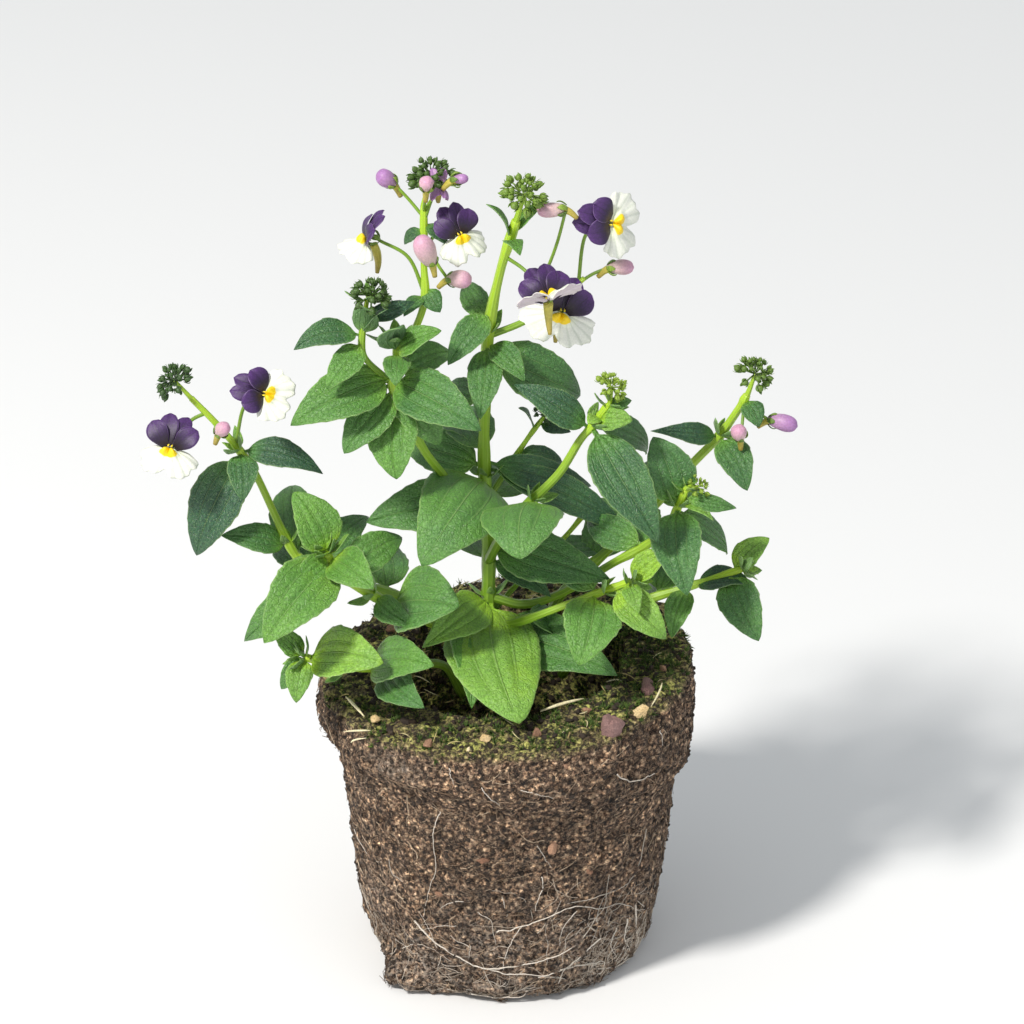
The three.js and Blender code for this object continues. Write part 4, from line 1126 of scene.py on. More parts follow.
def add_lobes(tissue, face, petals, gather, kind, rng):
    """The upper lobes; a gather under 1 draws them together."""
    for root, tip, width, lean in petals:
        tip = (tip[0] * gather, tip[1])
        grid = upper_petal(root, tip, width * rng.uniform(0.94, 1.08), lean + rng.uniform(-8, 8), rng)
        rows, columns = grid.shape[:2]
        add_sheet(tissue, face.place(grid), 0.28, kind, along=np.linspace(0, 1, rows)[:, None],
                  across=np.linspace(0, 1, columns)[None, :])


def add_lip(tissue, face, angle, cup, breadth, kind, rng):
    """The lip, with its yellow patch written in the tone."""
    grid, yellow = lip_grid(angle, cup, breadth, rng)
    rows, columns = grid.shape[:2]
    add_sheet(tissue, face.place(grid[:, ::-1]), 0.3, kind, along=np.linspace(LIP_FOOT, 1, rows)[:, None],
              across=np.linspace(0, 1, columns)[None, :], tone=yellow)


def add_spur(tissue, face):
    """The hollow spur that hangs from the back of the throat."""
    start = face.place(np.array([0.0, -0.5, -1.5]))
    hang = unit(np.array([0.0, 0.0, -1.0]) - face.up * 0.4 - face.out * 0.25) * face.scale
    path = Spline([start, start + hang * 2.2 - face.out * 0.8, start + hang * 5.2 - face.out * 0.9,
                   start + hang * 8.4 - face.out * 0.3])
    radii = np.interp(np.linspace(0, 1, 13), [0, 0.3, 0.85, 1], [1.3, 1.15, 0.7, 0.5])
    add_tube(tissue, path.line(12), radii, 10, "spur", tone=0.5)


def add_calyx(tissue, centre, axis, length, tone, seed):
    """Five narrow green sepals that hold the back of a flower or bud."""
    axis, side, other = cross_axes(axis, [0.3, 0.2, 0.9])
    rng = np.random.default_rng(seed)
    s, q = grid_shares(9, 5)
    for k in range(5):
        turn = 2 * math.pi * k / 5 + rng.uniform(-0.2, 0.2)
        out = side * math.cos(turn) + other * math.sin(turn)
        wide = np.cross(axis, out)
        half = 0.75 * np.maximum(np.sin(np.pi * (0.15 + 0.83 * s)), 0.05)
        lift = 0.9 + 1.1 * np.sin(np.pi * s * 0.7)
        surface = (centre + out * lift[..., None] + axis * (s * length)[..., None]
                   + wide * (q * half)[..., None])
        add_sheet(tissue, surface, 0.25, "green_bud", tone=tone, chance=rng.random(), along=s)


def add_stalk(tissue, points, low, high, tone):
    line = Spline(points).line(18)
    add_tube(tissue, line, np.linspace(low, high, 19), 8, "stem", tone=tone)


def build_flower(name, shoot, number, throat, look, roll, lip, cup, breadth, gather, scale):
    """One open flower with its spur, sepals and stalk."""
    tissue = Tissue()
    rng = np.random.default_rng(sum(map(ord, name)))
    face = Face(throat, look, scale, roll)
    add_lobes(tissue, face, UPPER_PETALS, gather, "violet", rng)
    add_lip(tissue, face, lip, cup, breadth, "white", rng)
    add_stamens(tissue, face)
    add_spur(tissue, face)
    start = LINES[shoot].at(number)
    upright = Face(throat, look, scale)
    bend = start * 0.45 + upright.place(STALK_BEND) * 0.55 + [0, 0, 1.5]
    neck = upright.place(NECK)
    add_stalk(tissue, [start, bend, neck], 0.5, 0.42, 0.35)
    add_calyx(tissue, neck, face.out * 0.9 + face.up * 0.2, 2.6, 0.4, 7)
    settle(make_object(f"bloom_{name}", tissue, MATERIALS), "petal", name)


def add_opening_flower(tissue, shoot, number, throat, look, scale, seed):
    """A lilac flower that has raised its upper lobes but still keeps its lip folded."""
    rng = np.random.default_rng(seed)
    face = Face(throat, look, scale)
    add_lobes(tissue, face, UPPER_PETALS[:2], 1.0, "lilac", rng)
    add_lip(tissue, face, 80, -0.5, 0.5, "lilac", rng)
    add_spur(tissue, face)
    neck = face.place(np.array([0.0, 0.6, -2.4]))
    start = LINES[shoot].at(number)
    add_stalk(tissue, [start, start * 0.5 + neck * 0.5 + [0, 0, 0.8], neck], 0.45, 0.4, 0.4)
    add_calyx(tissue, neck, face.out, 2.4, 0.5, seed)


def add_bud(tissue, shoot, number, middle, half, axis, colour, seed):
    """A closed two-lipped bud with folded lobes, a short spur, sepals and a stalk."""
    middle = np.array(middle, float)
    axis, side, other = cross_axes(axis, [0.15, 0.9, 0.35])
    rows, columns = 17, 24
    h = np.linspace(-1, 1, rows)[:, None]
    turn = full_turn(columns)
    wide = half[0] * np.sqrt(np.clip(1 - h**2, 0.002, 1)) * (0.86 + 0.22 * h)
    folds = 1 - 0.07 * np.abs(np.sin(2.5 * turn + 1.4 * h)) * np.clip(h + 0.6, 0, 1)
    wide = wide * folds * (1 + 0.12 * np.cos(turn))
    points = (middle + axis * (h * half[1])[..., None] + side * (wide * np.cos(turn))[..., None]
              + other * (wide * np.sin(turn))[..., None])
    along = np.repeat(np.linspace(0, 1, rows), columns)
    tissue.add(points, cap_faces(rows, columns), colour, along=along,
               across=np.tile(np.arange(columns) / columns, rows))
    foot = middle - axis * half[1] * 0.85
    down = unit(-axis + np.array([0, -0.2, -0.9]))
    spur = [foot + axis * 1.0, foot + down * 1.2, foot + down * 3.6]
    add_tube(tissue, Spline(spur).line(8), np.linspace(1.15, 0.6, 9), 10, "spur")
    start = LINES[shoot].at(number)
    add_stalk(tissue, [start, start * 0.4 + foot * 0.6 - axis, foot], 0.45, 0.4, 0.4)
    add_calyx(tissue, foot - axis * 0.2, axis, 2.6, 0.5, seed)


def build_buds():
    """The large buds, each its own piece, and one piece of smaller buds and half-open flowers."""
    for i, (name, shoot, number, middle, half, axis, colour) in enumerate(BUDS):
        tissue = Tissue()
        add_bud(tissue, shoot, number, middle, half, axis, colour, i)
        settle(make_object(f"closed_{name}", tissue, MATERIALS), "bud", name)
    tissue = Tissue()
    for i, (shoot, number, middle, half, axis, colour) in enumerate(SMALL_BUDS):
        add_bud(tissue, shoot, number, middle, half, axis, colour, 20 + i)
    for i, (shoot, number, throat, look, scale) in enumerate(OPENING_FLOWERS):
        add_opening_flower(tissue, shoot, number, throat, look, scale, 40 + i)
    settle(make_object("small_buds", tissue, MATERIALS), "bud")


# Shapes that repeat.


def geometry_tree(name, inputs):
    """A geometry tree with named inputs, each given by its first value or by its kind of socket."""
    tree = bpy.data.node_groups.new(name, "GeometryNodeTree")
    tree.interface.new_socket("Geometry", in_out="INPUT", socket_type="NodeSocketGeometry")
    for label, value in inputs.items():
        kind = {float: "NodeSocketFloat", int: "NodeSocketInt"}.get(type(value), value)
        socket = tree.interface.new_socket(label, in_out="INPUT", socket_type=kind)
        if kind != value:
            socket.default_value = value
    tree.interface.new_socket("Geometry", in_out="OUTPUT", socket_type="NodeSocketGeometry")
    given = tree.nodes.new("NodeGroupInput").outputs
    result = tree.nodes.new("NodeGroupOutput").inputs[0]
    return tree, given, result


def run_tree(source, tree, values, name):
    """Evaluates a tree on an object and returns the plain mesh object that comes out."""
    modifier = source.modifiers.new("grow", "NODES")
    modifier.node_group = tree
    for item in tree.interface.items_tree:
        if item.item_type == "SOCKET" and item.in_out == "INPUT" and item.name in values:
            modifier[item.identifier] = values[item.name]
    bpy.context.view_layer.update()
    graph = bpy.context.evaluated_depsgraph_get()
    mesh = bpy.data.meshes.new_from_object(source.evaluated_get(graph), depsgraph=graph)
    mesh.name = name
    source.modifiers.remove(modifier)
    return link_object(name, mesh)


def store_chance(tree, copies, seed):
    """Gives every copy its own chance value from 0 to 1."""
    shade = put(tree, "FunctionNodeRandomValue", {2: 0.0, 3: 1.0, "Seed": seed}, data_type="FLOAT")
    stored = put(tree, "GeometryNodeStoreNamedAttribute",
                 {"Geometry": copies.outputs[0], "Name": "chance", "Value": shade.outputs[1]},
                 data_type="FLOAT", domain="INSTANCE")
    return stored.outputs[0]


def close_tree(tree, geometry, finish, result):
    """Makes the copies real, gives them their material and ends the tree."""
    real = put(tree, "GeometryNodeRealizeInstances", {"Geometry": geometry})
    painted = put(tree, "GeometryNodeSetMaterial", {"Geometry": real.outputs[0], "Material": finish})
    tree.links.new(painted.outputs[0], result)
    return tree


def scatter_tree():
    """Copies of a shape on a surface, each turned, sized and shaded by chance."""
    tree, given, result = geometry_tree("scatter_on_peat", {
        "Shape": "NodeSocketObject", "Density": 1000.0, "Mask": "NodeSocketString", "Smallest": 0.6,
        "Largest": 1.3, "Lean": 0.3, "Seed": 1, "Finish": "NodeSocketMaterial"})
    mask = put(tree, "GeometryNodeInputNamedAttribute", {"Name": given["Mask"]}, data_type="FLOAT")
    density = times(tree, mask.outputs[0], given["Density"])
    spots = put(tree, "GeometryNodeDistributePointsOnFaces",
                {"Mesh": given["Geometry"], "Density": density, "Seed": given["Seed"]})
    spin = put(tree, "FunctionNodeRandomValue",
               {"Min": (0.0, 0.0, -math.pi), "Max": (0.0, 0.0, math.pi), "Seed": given["Seed"]},
               data_type="FLOAT_VECTOR")
    back = times(tree, given["Lean"], -1.0)
    lean_low = put(tree, "ShaderNodeCombineXYZ", {0: back, 1: back, 2: 0.0})
    lean_high = put(tree, "ShaderNodeCombineXYZ", {0: given["Lean"], 1: given["Lean"], 2: 0.0})
    lean = put(tree, "FunctionNodeRandomValue",
               {"Min": lean_low.outputs[0], "Max": lean_high.outputs[0],
                "Seed": plus(tree, given["Seed"], 7.0)}, data_type="FLOAT_VECTOR")
    turned = put(tree, "FunctionNodeRotateRotation",
                 {"Rotation": spots.outputs["Rotation"], "Rotate By": spin.outputs[0]},
                 rotation_space="LOCAL")
    leant = put(tree, "FunctionNodeRotateRotation",
                {"Rotation": turned.outputs[0], "Rotate By": lean.outputs[0]}, rotation_space="LOCAL")
    size = put(tree, "FunctionNodeRandomValue",
               {2: given["Smallest"], 3: given["Largest"], "Seed": plus(tree, given["Seed"], 3.0)},
               data_type="FLOAT")
    shape = put(tree, "GeometryNodeObjectInfo", {"Object": given["Shape"]})
    copies = put(tree, "GeometryNodeInstanceOnPoints",
                 {"Points": spots.outputs["Points"], "Instance": shape.outputs["Geometry"],
                  "Rotation": leant.outputs[0], "Scale": size.outputs[1]})
    shaded = store_chance(tree, copies, plus(tree, given["Seed"], 5.0))
    return close_tree(tree, shaded, given["Finish"], result)


def thread_tree():
    """A round tube along every line, thick at its start and thin at its end."""
    tree, given, result = geometry_tree("thread_tubes", {
        "Radius": 0.0002, "Sides": 5, "Finish": "NodeSocketMaterial"})
    share = put(tree, "GeometryNodeSplineParameter").outputs["Factor"]
    taper = minus(tree, 1.0, times(tree, share, 0.6))
    own = put(tree, "GeometryNodeInputNamedAttribute", {"Name": "thickness"}, data_type="FLOAT")
    thick = times(tree, times(tree, given["Radius"], own.outputs[0]), taper)
    lines = put(tree, "GeometryNodeMeshToCurve", {"Mesh": given["Geometry"]})
    ring = put(tree, "GeometryNodeCurvePrimitiveCircle", {"Resolution": given["Sides"], "Radius": 1.0})
    tubes = put(tree, "GeometryNodeCurveToMesh",
                {"Curve": lines.outputs[0], "Profile Curve": ring.outputs[0], "Scale": thick,
                 "Fill Caps": True})
    return close_tree(tree, tubes.outputs[0], given["Finish"], result)


def head_tree():
    """Buds set in a golden spiral over a dome, the youngest and smallest on top."""
    tree, given, result = geometry_tree("bud_spiral", {
        "Bud": "NodeSocketObject", "Count": 24, "Radius": 0.005, "Smallest": 0.5, "Largest": 1.1,
        "Seed": 1, "Finish": "NodeSocketMaterial"})
    dots = put(tree, "GeometryNodePoints", {"Count": given["Count"]})
    index = put(tree, "GeometryNodeInputIndex").outputs[0]
    share = calc(tree, "DIVIDE", index, given["Count"])
    height = minus(tree, 1.0, times(tree, share, 1.45))
    rest = minus(tree, 1.0, times(tree, height, height))
    flat = calc(tree, "SQRT", calc(tree, "MAXIMUM", 0.0, rest))
    turn = times(tree, index, GOLDEN_TURN)
    way = put(tree, "ShaderNodeCombineXYZ",
              {0: times(tree, flat, calc(tree, "COSINE", turn)),
               1: times(tree, flat, calc(tree, "SINE", turn)), 2: height})
    jitter = put(tree, "FunctionNodeRandomValue",
                 {"Min": (-0.18, -0.18, -0.18), "Max": (0.18, 0.18, 0.18), "Seed": given["Seed"]},
                 data_type="FLOAT_VECTOR")
    loose = put(tree, "ShaderNodeVectorMath", {0: way.outputs[0], 1: jitter.outputs[0]}, operation="ADD")
    place = put(tree, "ShaderNodeVectorMath", {0: loose.outputs[0], "Scale": given["Radius"]},
                operation="SCALE")
    moved = put(tree, "GeometryNodeSetPosition",
                {"Geometry": dots.outputs[0], "Position": place.outputs[0]})
    aim = put(tree, "FunctionNodeAlignRotationToVector", {"Vector": loose.outputs[0]}, axis="Z")
    size = put(tree, "ShaderNodeMapRange",
               {0: share, 1: 0.0, 2: 1.0, 3: given["Smallest"], 4: given["Largest"]})
    shape = put(tree, "GeometryNodeObjectInfo", {"Object": given["Bud"]})
    copies = put(tree, "GeometryNodeInstanceOnPoints",
                 {"Points": moved.outputs[0], "Instance": shape.outputs["Geometry"],
                  "Rotation": aim.outputs[0], "Scale": size.outputs[0]})
    shaded = store_chance(tree, copies, given["Seed"])
    return close_tree(tree, shaded, given["Finish"], result)


def hide_helper(tissue, name):
    """Makes a shape that is only copied, and is removed afterwards."""
    made = make_object(name, tissue, MATERIALS)
    made.hide_render = True
    return made


def young_bud():
    """A round green bud on a thin stalk, held by three sepals. Its origin is at the foot of the bud."""
    tissue = Tissue()
    rows, columns = 7, 8
    h = np.linspace(0, 1, rows)[:, None]
    turn = full_turn(columns)
    wide = 1.15 * np.sin(np.pi * (0.06 + 0.9 * h)) ** 0.7 * (1 + 0.07 * np.cos(3 * turn))
    high = np.broadcast_to(h * 2.5, wide.shape)
    points = np.stack([wide * np.cos(turn), wide * np.sin(turn), high], -1)
    tissue.add(points, cap_faces(rows, columns), "green_bud")
    add_tube(tissue, np.array([[0, 0, -4.0], [0.1, 0, -2.0], [0, 0, 0.2]]), [0.32, 0.26, 0.3], 5, "green_bud")
    s, q = grid_shares(5, 3)
    for k in range(3):
        out = level_way(2.1 * k)
        half = 0.6 * np.sin(np.pi * (0.25 + 0.7 * s))
        lift = 0.45 + 1.0 * np.sin(np.pi * (0.1 + 0.62 * s))
        surface = (out * lift[..., None] + UP * (s * 2.7)[..., None]
                   + np.cross(UP, out) * (q * half)[..., None])
        add_sheet(tissue, surface, 0.2, "green_bud")
    return hide_helper(tissue, "young_bud_shape")


# The radius of a head whose buds have their full size, and how far out they sit as a share of it.
FULL_HEAD = 6.0
BUD_SEAT = 0.62


def build_bud_heads():
    """Heads of green buds, each turned to the way its shoot points."""
    shape = young_bud()
    tree = head_tree()
    empty = link_object("head_seed", bpy.data.meshes.new("head_seed"))
    for order, (node, shoot, middle, radius, count, tone) in enumerate(BUD_HEADS):
        size = radius / FULL_HEAD
        values = {"Bud": shape, "Count": count, "Radius": radius * MM * BUD_SEAT, "Smallest": size * 0.5,
                  "Largest": size * 0.95, "Seed": order + 3, "Finish": MATERIALS["green_bud"]}
        name = f"green_{node}" if node else f"green_bud_head_{shoot}"
        piece = run_tree(empty, tree, values, name)
        aim = Vector(end_axis(shoot)).to_track_quat("Z", "Y").to_matrix().to_4x4()
        piece.data.transform(Matrix.Translation(Vector(middle) * MM) @ aim)
        write_field(piece.data, "tone", np.full(len(piece.data.vertices), tone))
        smooth(piece)
        settle(piece, "bud_head", *([node] if node else []))
    bpy.data.objects.remove(shape)
    bpy.data.objects.remove(empty)


# Root ball.

# The skin's grid: rows from the middle of the foot to the middle of the soil, and columns round it.
BALL_ROWS = 140
BALL_COLUMNS = 270

# Mats of fine roots on the wall: turn in degrees, height, half sizes across and up, strength.
ROOT_MATS = [(310, 5, 13, 6, 1.0), (330, 12, 9, 10, 1.0), (264, 2, 9, 2.5, 1.0), (150, 5, 30, 5, 0.7),
             (60, 6, 26, 7, 0.7)]

# A pale patch of mould under the rim, in the same form without a strength.
MOULD_SPOT = (233, 73, 5, 4)
WALL_RADIUS = 42.0


def ball_points(turn, reach, height):
    """Bends the plain drum as the frame's root ball is bent."""
    wall = np.clip((reach - FOOT_RADIUS) / 6, 0, 1)
    level = height / SOIL_HEIGHT
    grow = wall * (0.5 * np.sin(3 * turn + 5 * level) + 0.35 * np.sin(7 * turn - 9 * level))
    left = np.clip(np.cos(turn - math.radians(204)), 0, 1)
    grow = grow - wall * 3.0 * left**14 * np.exp(-(((height - 7) / 6) ** 2))
    lump = np.clip(np.cos(turn - math.radians(227)), 0, 1)
    grow = grow + np.clip((reach - 20) / 13, 0, 1) * 7.0 * lump**40 * np.exp(-(((height - 2) / 5) ** 2))
    dip = np.exp(-(((height - 61) / 6) ** 2)) * (-4.5 * np.cos(turn) - 4.0 * np.sin(turn))
    x, y = reach * np.cos(turn), reach * np.sin(turn)
    tilt = SOIL_SLOPE * x * np.clip(level - 0.75, 0, 1) * 4
    mound = np.where(height > SOIL_HEIGHT - 1, 0.5 * np.sin(x / 9) * np.cos(y / 8), 0)
    wide = reach + np.where(reach > 1, grow, 0)
    return np.stack([wide * np.cos(turn), wide * np.sin(turn), height + wall * dip + tilt + mound], -1)


def rough(points, scale, seed):
    """Smooth noise at each point, about -1 to 1."""
    shift = Vector((seed * 3.1, seed * 1.7, seed * 2.3))
    flat = points.reshape(-1, 3)
    found = [noise.noise(Vector(p) / scale + shift) for p in flat]
    return np.array(found).reshape(points.shape[:-1])


def ball_surface():
    """The crumbly skin of the root ball as a grid, row by row from the middle of its foot to the top."""
    profile = np.array(BALL_PROFILE, float)
    steps = np.append(0, np.cumsum(np.linalg.norm(np.diff(profile, axis=0), axis=1)))
    run = np.linspace(0, steps[-1], BALL_ROWS)
    reach = np.interp(run, steps, profile[:, 0])
    height = np.interp(run, steps, profile[:, 1])
    reach[0] = reach[-1] = 0.05
    turn, reach = np.meshgrid(full_turn(BALL_COLUMNS)[0], reach)
    height = np.broadcast_to(height[:, None], turn.shape)
    points = ball_points(turn, reach, height)
    out = np.cross(np.gradient(points, axis=1), np.gradient(points, axis=0))
    out /= np.maximum(np.linalg.norm(out, axis=2, keepdims=True), 1e-9)
    coarse, middling, fine = rough(points, 7.0, 1), rough(points, 3.2, 2), rough(points, 1.8, 3)
    lift = 0.6 * coarse + 0.8 * middling + 0.6 * fine - np.clip(-middling - 0.25, 0, 1) * 1.8
    on_top = (height > SOIL_HEIGHT - 0.5) & (reach < SOIL_RADIUS)
    lift = np.where(on_top, 1.2 * coarse + 0.9 * middling + 0.6 * fine, lift)
    rim = np.exp(-(((height - 80) / 3.5) ** 2)) * ~on_top
    lift = lift + rim * (1.0 * rough(points, 4.0, 6) + 0.7 * middling)
    broken = np.exp(-((height / 9.0) ** 2)) * (reach > FOOT_RADIUS - 2)
    lift = lift + broken * (1.6 * rough(points, 5.5, 12) + 1.0 * middling)
    points = points + out * lift[..., None]
    points[..., 2] = np.where(reach < FOOT_RADIUS - 2, 0.0, np.maximum(points[..., 2], 0.0))
    points[-1] = points[-1].mean(axis=0) + (points[-1] - points[-1].mean(axis=0)) * 0.5
    return points, turn, height, on_top


def near_spot(turn, height, turn_degrees, level, wide, high):
    """A soft patch on the wall round a turn and a height, with its half sizes in millimetres."""
    away = np.angle(np.exp(1j * (turn - math.radians(turn_degrees)))) * WALL_RADIUS
    return np.exp(-((away / wide) ** 2) - ((height - level) / high) ** 2)


def build_root_ball():
    """The peat, with fields for its colour and masks for what lies on it."""
    points, turn, height, on_top = ball_surface()
    foot = np.exp(-((height / 24.0) ** 2)) * (height > 0.5)
    patch = np.clip(0.5 + rough(points, 11.0, 5), 0, 1)
    green = np.clip((height - 78.5) / 3.0, 0, 1)
    mould = near_spot(turn, height, *MOULD_SPOT)
    mats = sum(strength * near_spot(turn, height, *spot) for *spot, strength in ROOT_MATS) * (height > 0.8)
    tissue = Tissue()
    tissue.add(points, cap_faces(*turn.shape), "peat", tone=foot * patch + mould, chance=green)
    ball = make_object("root_ball_peat", tissue, MATERIALS)
    wall = (height > 1.2) & ~on_top
    right = np.exp(-(((points[..., 0] - 33) / 16) ** 2) - ((points[..., 1] + 10) / 22) ** 2)
    mossy = np.clip(0.4 + 2.4 * rough(points, 8.0, 9) + right, 0, 1)
    fringe = np.clip((height - 78) / 3, 0, 1) * wall * np.clip(2.4 * rough(points, 6.0, 10), 0, 1)
    masks = {"wall": wall * 1.0, "top": on_top * 1.0, "moss": on_top * mossy + 0.8 * fringe,
             "mould": mould, "mats": mats}
    for name, mask in masks.items():
        write_field(ball.data, name, mask)
    return ball


def fibre_shape(name, length, radius, curl, bends):
    """A short bent fibre of three sides."""
    tissue = Tissue()
    s = np.linspace(-0.5, 0.5, bends + 1)
    line = np.stack([s * length, curl * np.cos(s * 2.6) * length * 0.3, 0.08 + curl * length * 0.06 * s], -1)
    add_tube(tissue, line, radius * np.interp(s, [-0.5, 0, 0.5], [0.6, 1.0, 0.5]), 3, "fibre")
    return hide_helper(tissue, name)


def lump_shape(name, size, kind):
    """A crumb of twenty faces, pressed a little flat."""
    tissue = Tissue()
    golden = (1 + math.sqrt(5)) / 2
    corners = [(-1, golden, 0), (1, golden, 0), (-1, -golden, 0), (1, -golden, 0), (0, -1, golden),
               (0, 1, golden), (0, -1, -golden), (0, 1, -golden), (golden, 0, -1), (golden, 0, 1),
               (-golden, 0, -1), (-golden, 0, 1)]
    faces = [(0, 11, 5), (0, 5, 1), (0, 1, 7), (0, 7, 10), (0, 10, 11), (1, 5, 9), (5, 11, 4), (11, 10, 2),
             (10, 7, 6), (7, 1, 8), (3, 9, 4), (3, 4, 2), (3, 2, 6), (3, 6, 8), (3, 8, 9), (4, 9, 5),
             (2, 4, 11), (6, 2, 10), (8, 6, 7), (9, 8, 1)]
    rng = np.random.default_rng(4)
    points = np.array(corners) / 1.9 * size * [1.0, 0.8, 0.6] * rng.uniform(0.75, 1.2, (12, 1))
    tissue.add(points, faces, kind)
    return hide_helper(tissue, name)


def moss_shape():
    """A tuft of five tiny leaning blades, each a thin pyramid."""
    tissue = Tissue()
    for k in range(5):
        out = level_way(k * GOLDEN_TURN)
        side = np.cross(UP, out) * 0.24
        tip = out * (0.5 + 0.24 * k) + UP * (1.9 - 0.22 * k)
        tissue.add([side, -side, out * 0.3, tip], [(0, 1, 2), (0, 3, 1), (1, 3, 2), (2, 3, 0)], "moss")
    return hide_helper(tissue, "moss_shape")


# Litter: piece, shape, copies on a square metre, mask, smallest and largest size, lean, seed, material.
LITTER = [
    ("peat_fibres_long", "long", 0.04e6, "wall", 0.4, 1.3, 0.08, 11, "fibre"),
    ("peat_fibres_mid", "mid", 0.1e6, "wall", 0.4, 1.3, 0.14, 12, "fibre"),
    ("peat_fibres_short", "short", 0.17e6, "wall", 0.5, 1.4, 0.25, 13, "fibre"),
    ("peat_crumbs", "crumb", 0.1e6, "wall", 0.3, 1.1, 1.0, 17, "crumb"),
    ("soil_crumbs", "crumb", 0.14e6, "top", 0.4, 1.9, 1.2, 14, "crumb"),
    ("soil_fibres", "mid", 0.07e6, "top", 0.5, 1.6, 0.7, 15, "fibre"),
    ("moss_tufts", "tuft", 0.38e6, "moss", 0.4, 1.2, 0.6, 16, "moss"),
    ("mould_threads", "short", 5e6, "mould", 0.4, 1.0, 0.6, 18, "root"),
    ("root_mats", "long", 0.8e6, "mats", 0.3, 1.0, 0.3, 19, "root"),
]


def scatter_litter(ball):
    """Fibres, crumbs and moss over the root ball, each from one small shape."""
    tree = scatter_tree()
    shapes = {"long": fibre_shape("long_fibre_shape", 4.6, 0.1, 1.0, 3),
              "mid": fibre_shape("mid_fibre_shape", 2.8, 0.11, 0.8, 2),
              "short": fibre_shape("short_fibre_shape", 1.5, 0.13, 0.4, 1),
              "crumb": lump_shape("crumb_shape", 0.75, "crumb"), "tuft": moss_shape()}
    for name, shape, density, mask, low, high, lean, seed, kind in LITTER:
        values = {"Shape": shapes[shape], "Density": density, "Mask": mask, "Smallest": low, "Largest": high,
                  "Lean": lean, "Seed": seed, "Finish": MATERIALS[kind]}
        settle(run_tree(ball, tree, values, name), "peat")
    for shape in shapes.values():
        bpy.data.objects.remove(shape)


def wall_point(turn_degrees, height, out=0.25):
    """A point on the root ball's wall, given as a turn from +X and a height."""
    profile = np.array(BALL_PROFILE[2:15], float)
    reach = np.interp(height, profile[:, 1], profile[:, 0])
    turn = math.radians(turn_degrees)
    point = ball_points(np.array(turn), np.array(reach), np.array(float(height)))
    return point + level_way(turn) * out


# The heights between which threads stay, and how far one step goes: degrees round and millimetres up.
THREAD_LOW = 0.8
THREAD_HIGH = 78.0
STEP_ROUND = 1.2
STEP_UP = 0.9


def wander(rng, turn, height, heading, steps, sway):
    """A thread that creeps over the wall, with its heading changed a little at each step."""
    path = []
    for _ in range(steps):
        path.append(wall_point(turn, min(max(height, THREAD_LOW), THREAD_HIGH)))
        heading += rng.normal(0, sway)
        turn += STEP_ROUND * math.cos(heading)
        height += STEP_UP * math.sin(heading)
        if height < 1.5:
            heading = abs(math.remainder(heading, 2 * math.pi))
    return path


# Root threads that stand out in the picture: points as turn and height, and thickness.
MAIN_ROOTS = [
    ([(247, 57), (244, 52), (245, 44), (242, 38), (238, 27)], 0.8),
    ([(234, 23), (242, 18), (250, 14), (258, 12), (270, 10), (282, 9), (294, 6)], 1.5),
    ([(225, 11), (232, 15), (240, 15), (248, 13)], 0.8),
    ([(261, 12), (274, 14), (287, 15), (298, 18), (304, 24), (308, 28), (308, 38)], 1.3),
    ([(326, 45), (326, 35), (320, 30), (310, 29), (292, 30)], 1.0),
    ([(266, 24), (275, 26), (288, 29), (296, 30), (305, 27), (316, 25), (326, 20), (336, 17)], 1.2),
    ([(282, 41), (282, 36), (280, 30)], 1.1),
    ([(259, 30), (264, 27), (266, 20)], 0.9),
    ([(296, 28), (291, 24), (290, 18)], 0.8),
    ([(275, 26), (271, 21), (268, 15), (269, 12)], 0.8),
    ([(326, 21), (328, 12), (332, 6), (325, 2)], 1.6),
    ([(322, 18), (322, 11), (328, 4)], 1.2),
    ([(308, 16), (302, 13), (292, 9), (290, 5)], 1.5),
    ([(262, 72), (264, 68), (268, 62)], 1.2),
    ([(252, 77), (253, 72)], 1.0),
    ([(304, 70), (310, 66), (318, 66)], 1.3),
    ([(322, 76), (322, 72)], 0.9),
    ([(256, 19), (256, 14)], 0.8),
    ([(244, 14), (242, 9)], 0.7),
    ([(290, 10), (300, 9), (310, 6), (310, 3), (304, 5)], 1.4),
    ([(255, 2), (264, 2), (274, 2), (277, 4)], 1.6),
    ([(274, 71), (278, 70), (283, 68)], 0.9),
    ([(280, 51), (286, 44)], 0.7),
    ([(268, 35), (269, 29)], 0.8),
    ([(308, 6), (325, 2), (338, 3), (335, 14)], 1.3),
    ([(223, 39), (224, 35), (229, 34)], 0.7),
    ([(281, 9), (290, 10), (302, 12)], 1.1),
    ([(316, 17), (314, 12), (318, 6)], 1.0),
]

# Crowds of wandering threads: number, turn in degrees and its spread, lowest height and the spread above
# it, fewest and most steps, thinnest and thickest.
ROOT_CROWDS = [(330, 0, 180, 1.5, 15, (8, 26), (0.3, 0.75)),
               (110, 318, 16, 4, 8, (6, 18), (0.4, 0.95)),
               (30, 264, 14, 1.5, 2, (6, 16), (0.4, 0.8))]
PEAT_STRANDS = 620
THREAD_RADIUS = 0.17
THREAD_SIDES = 3


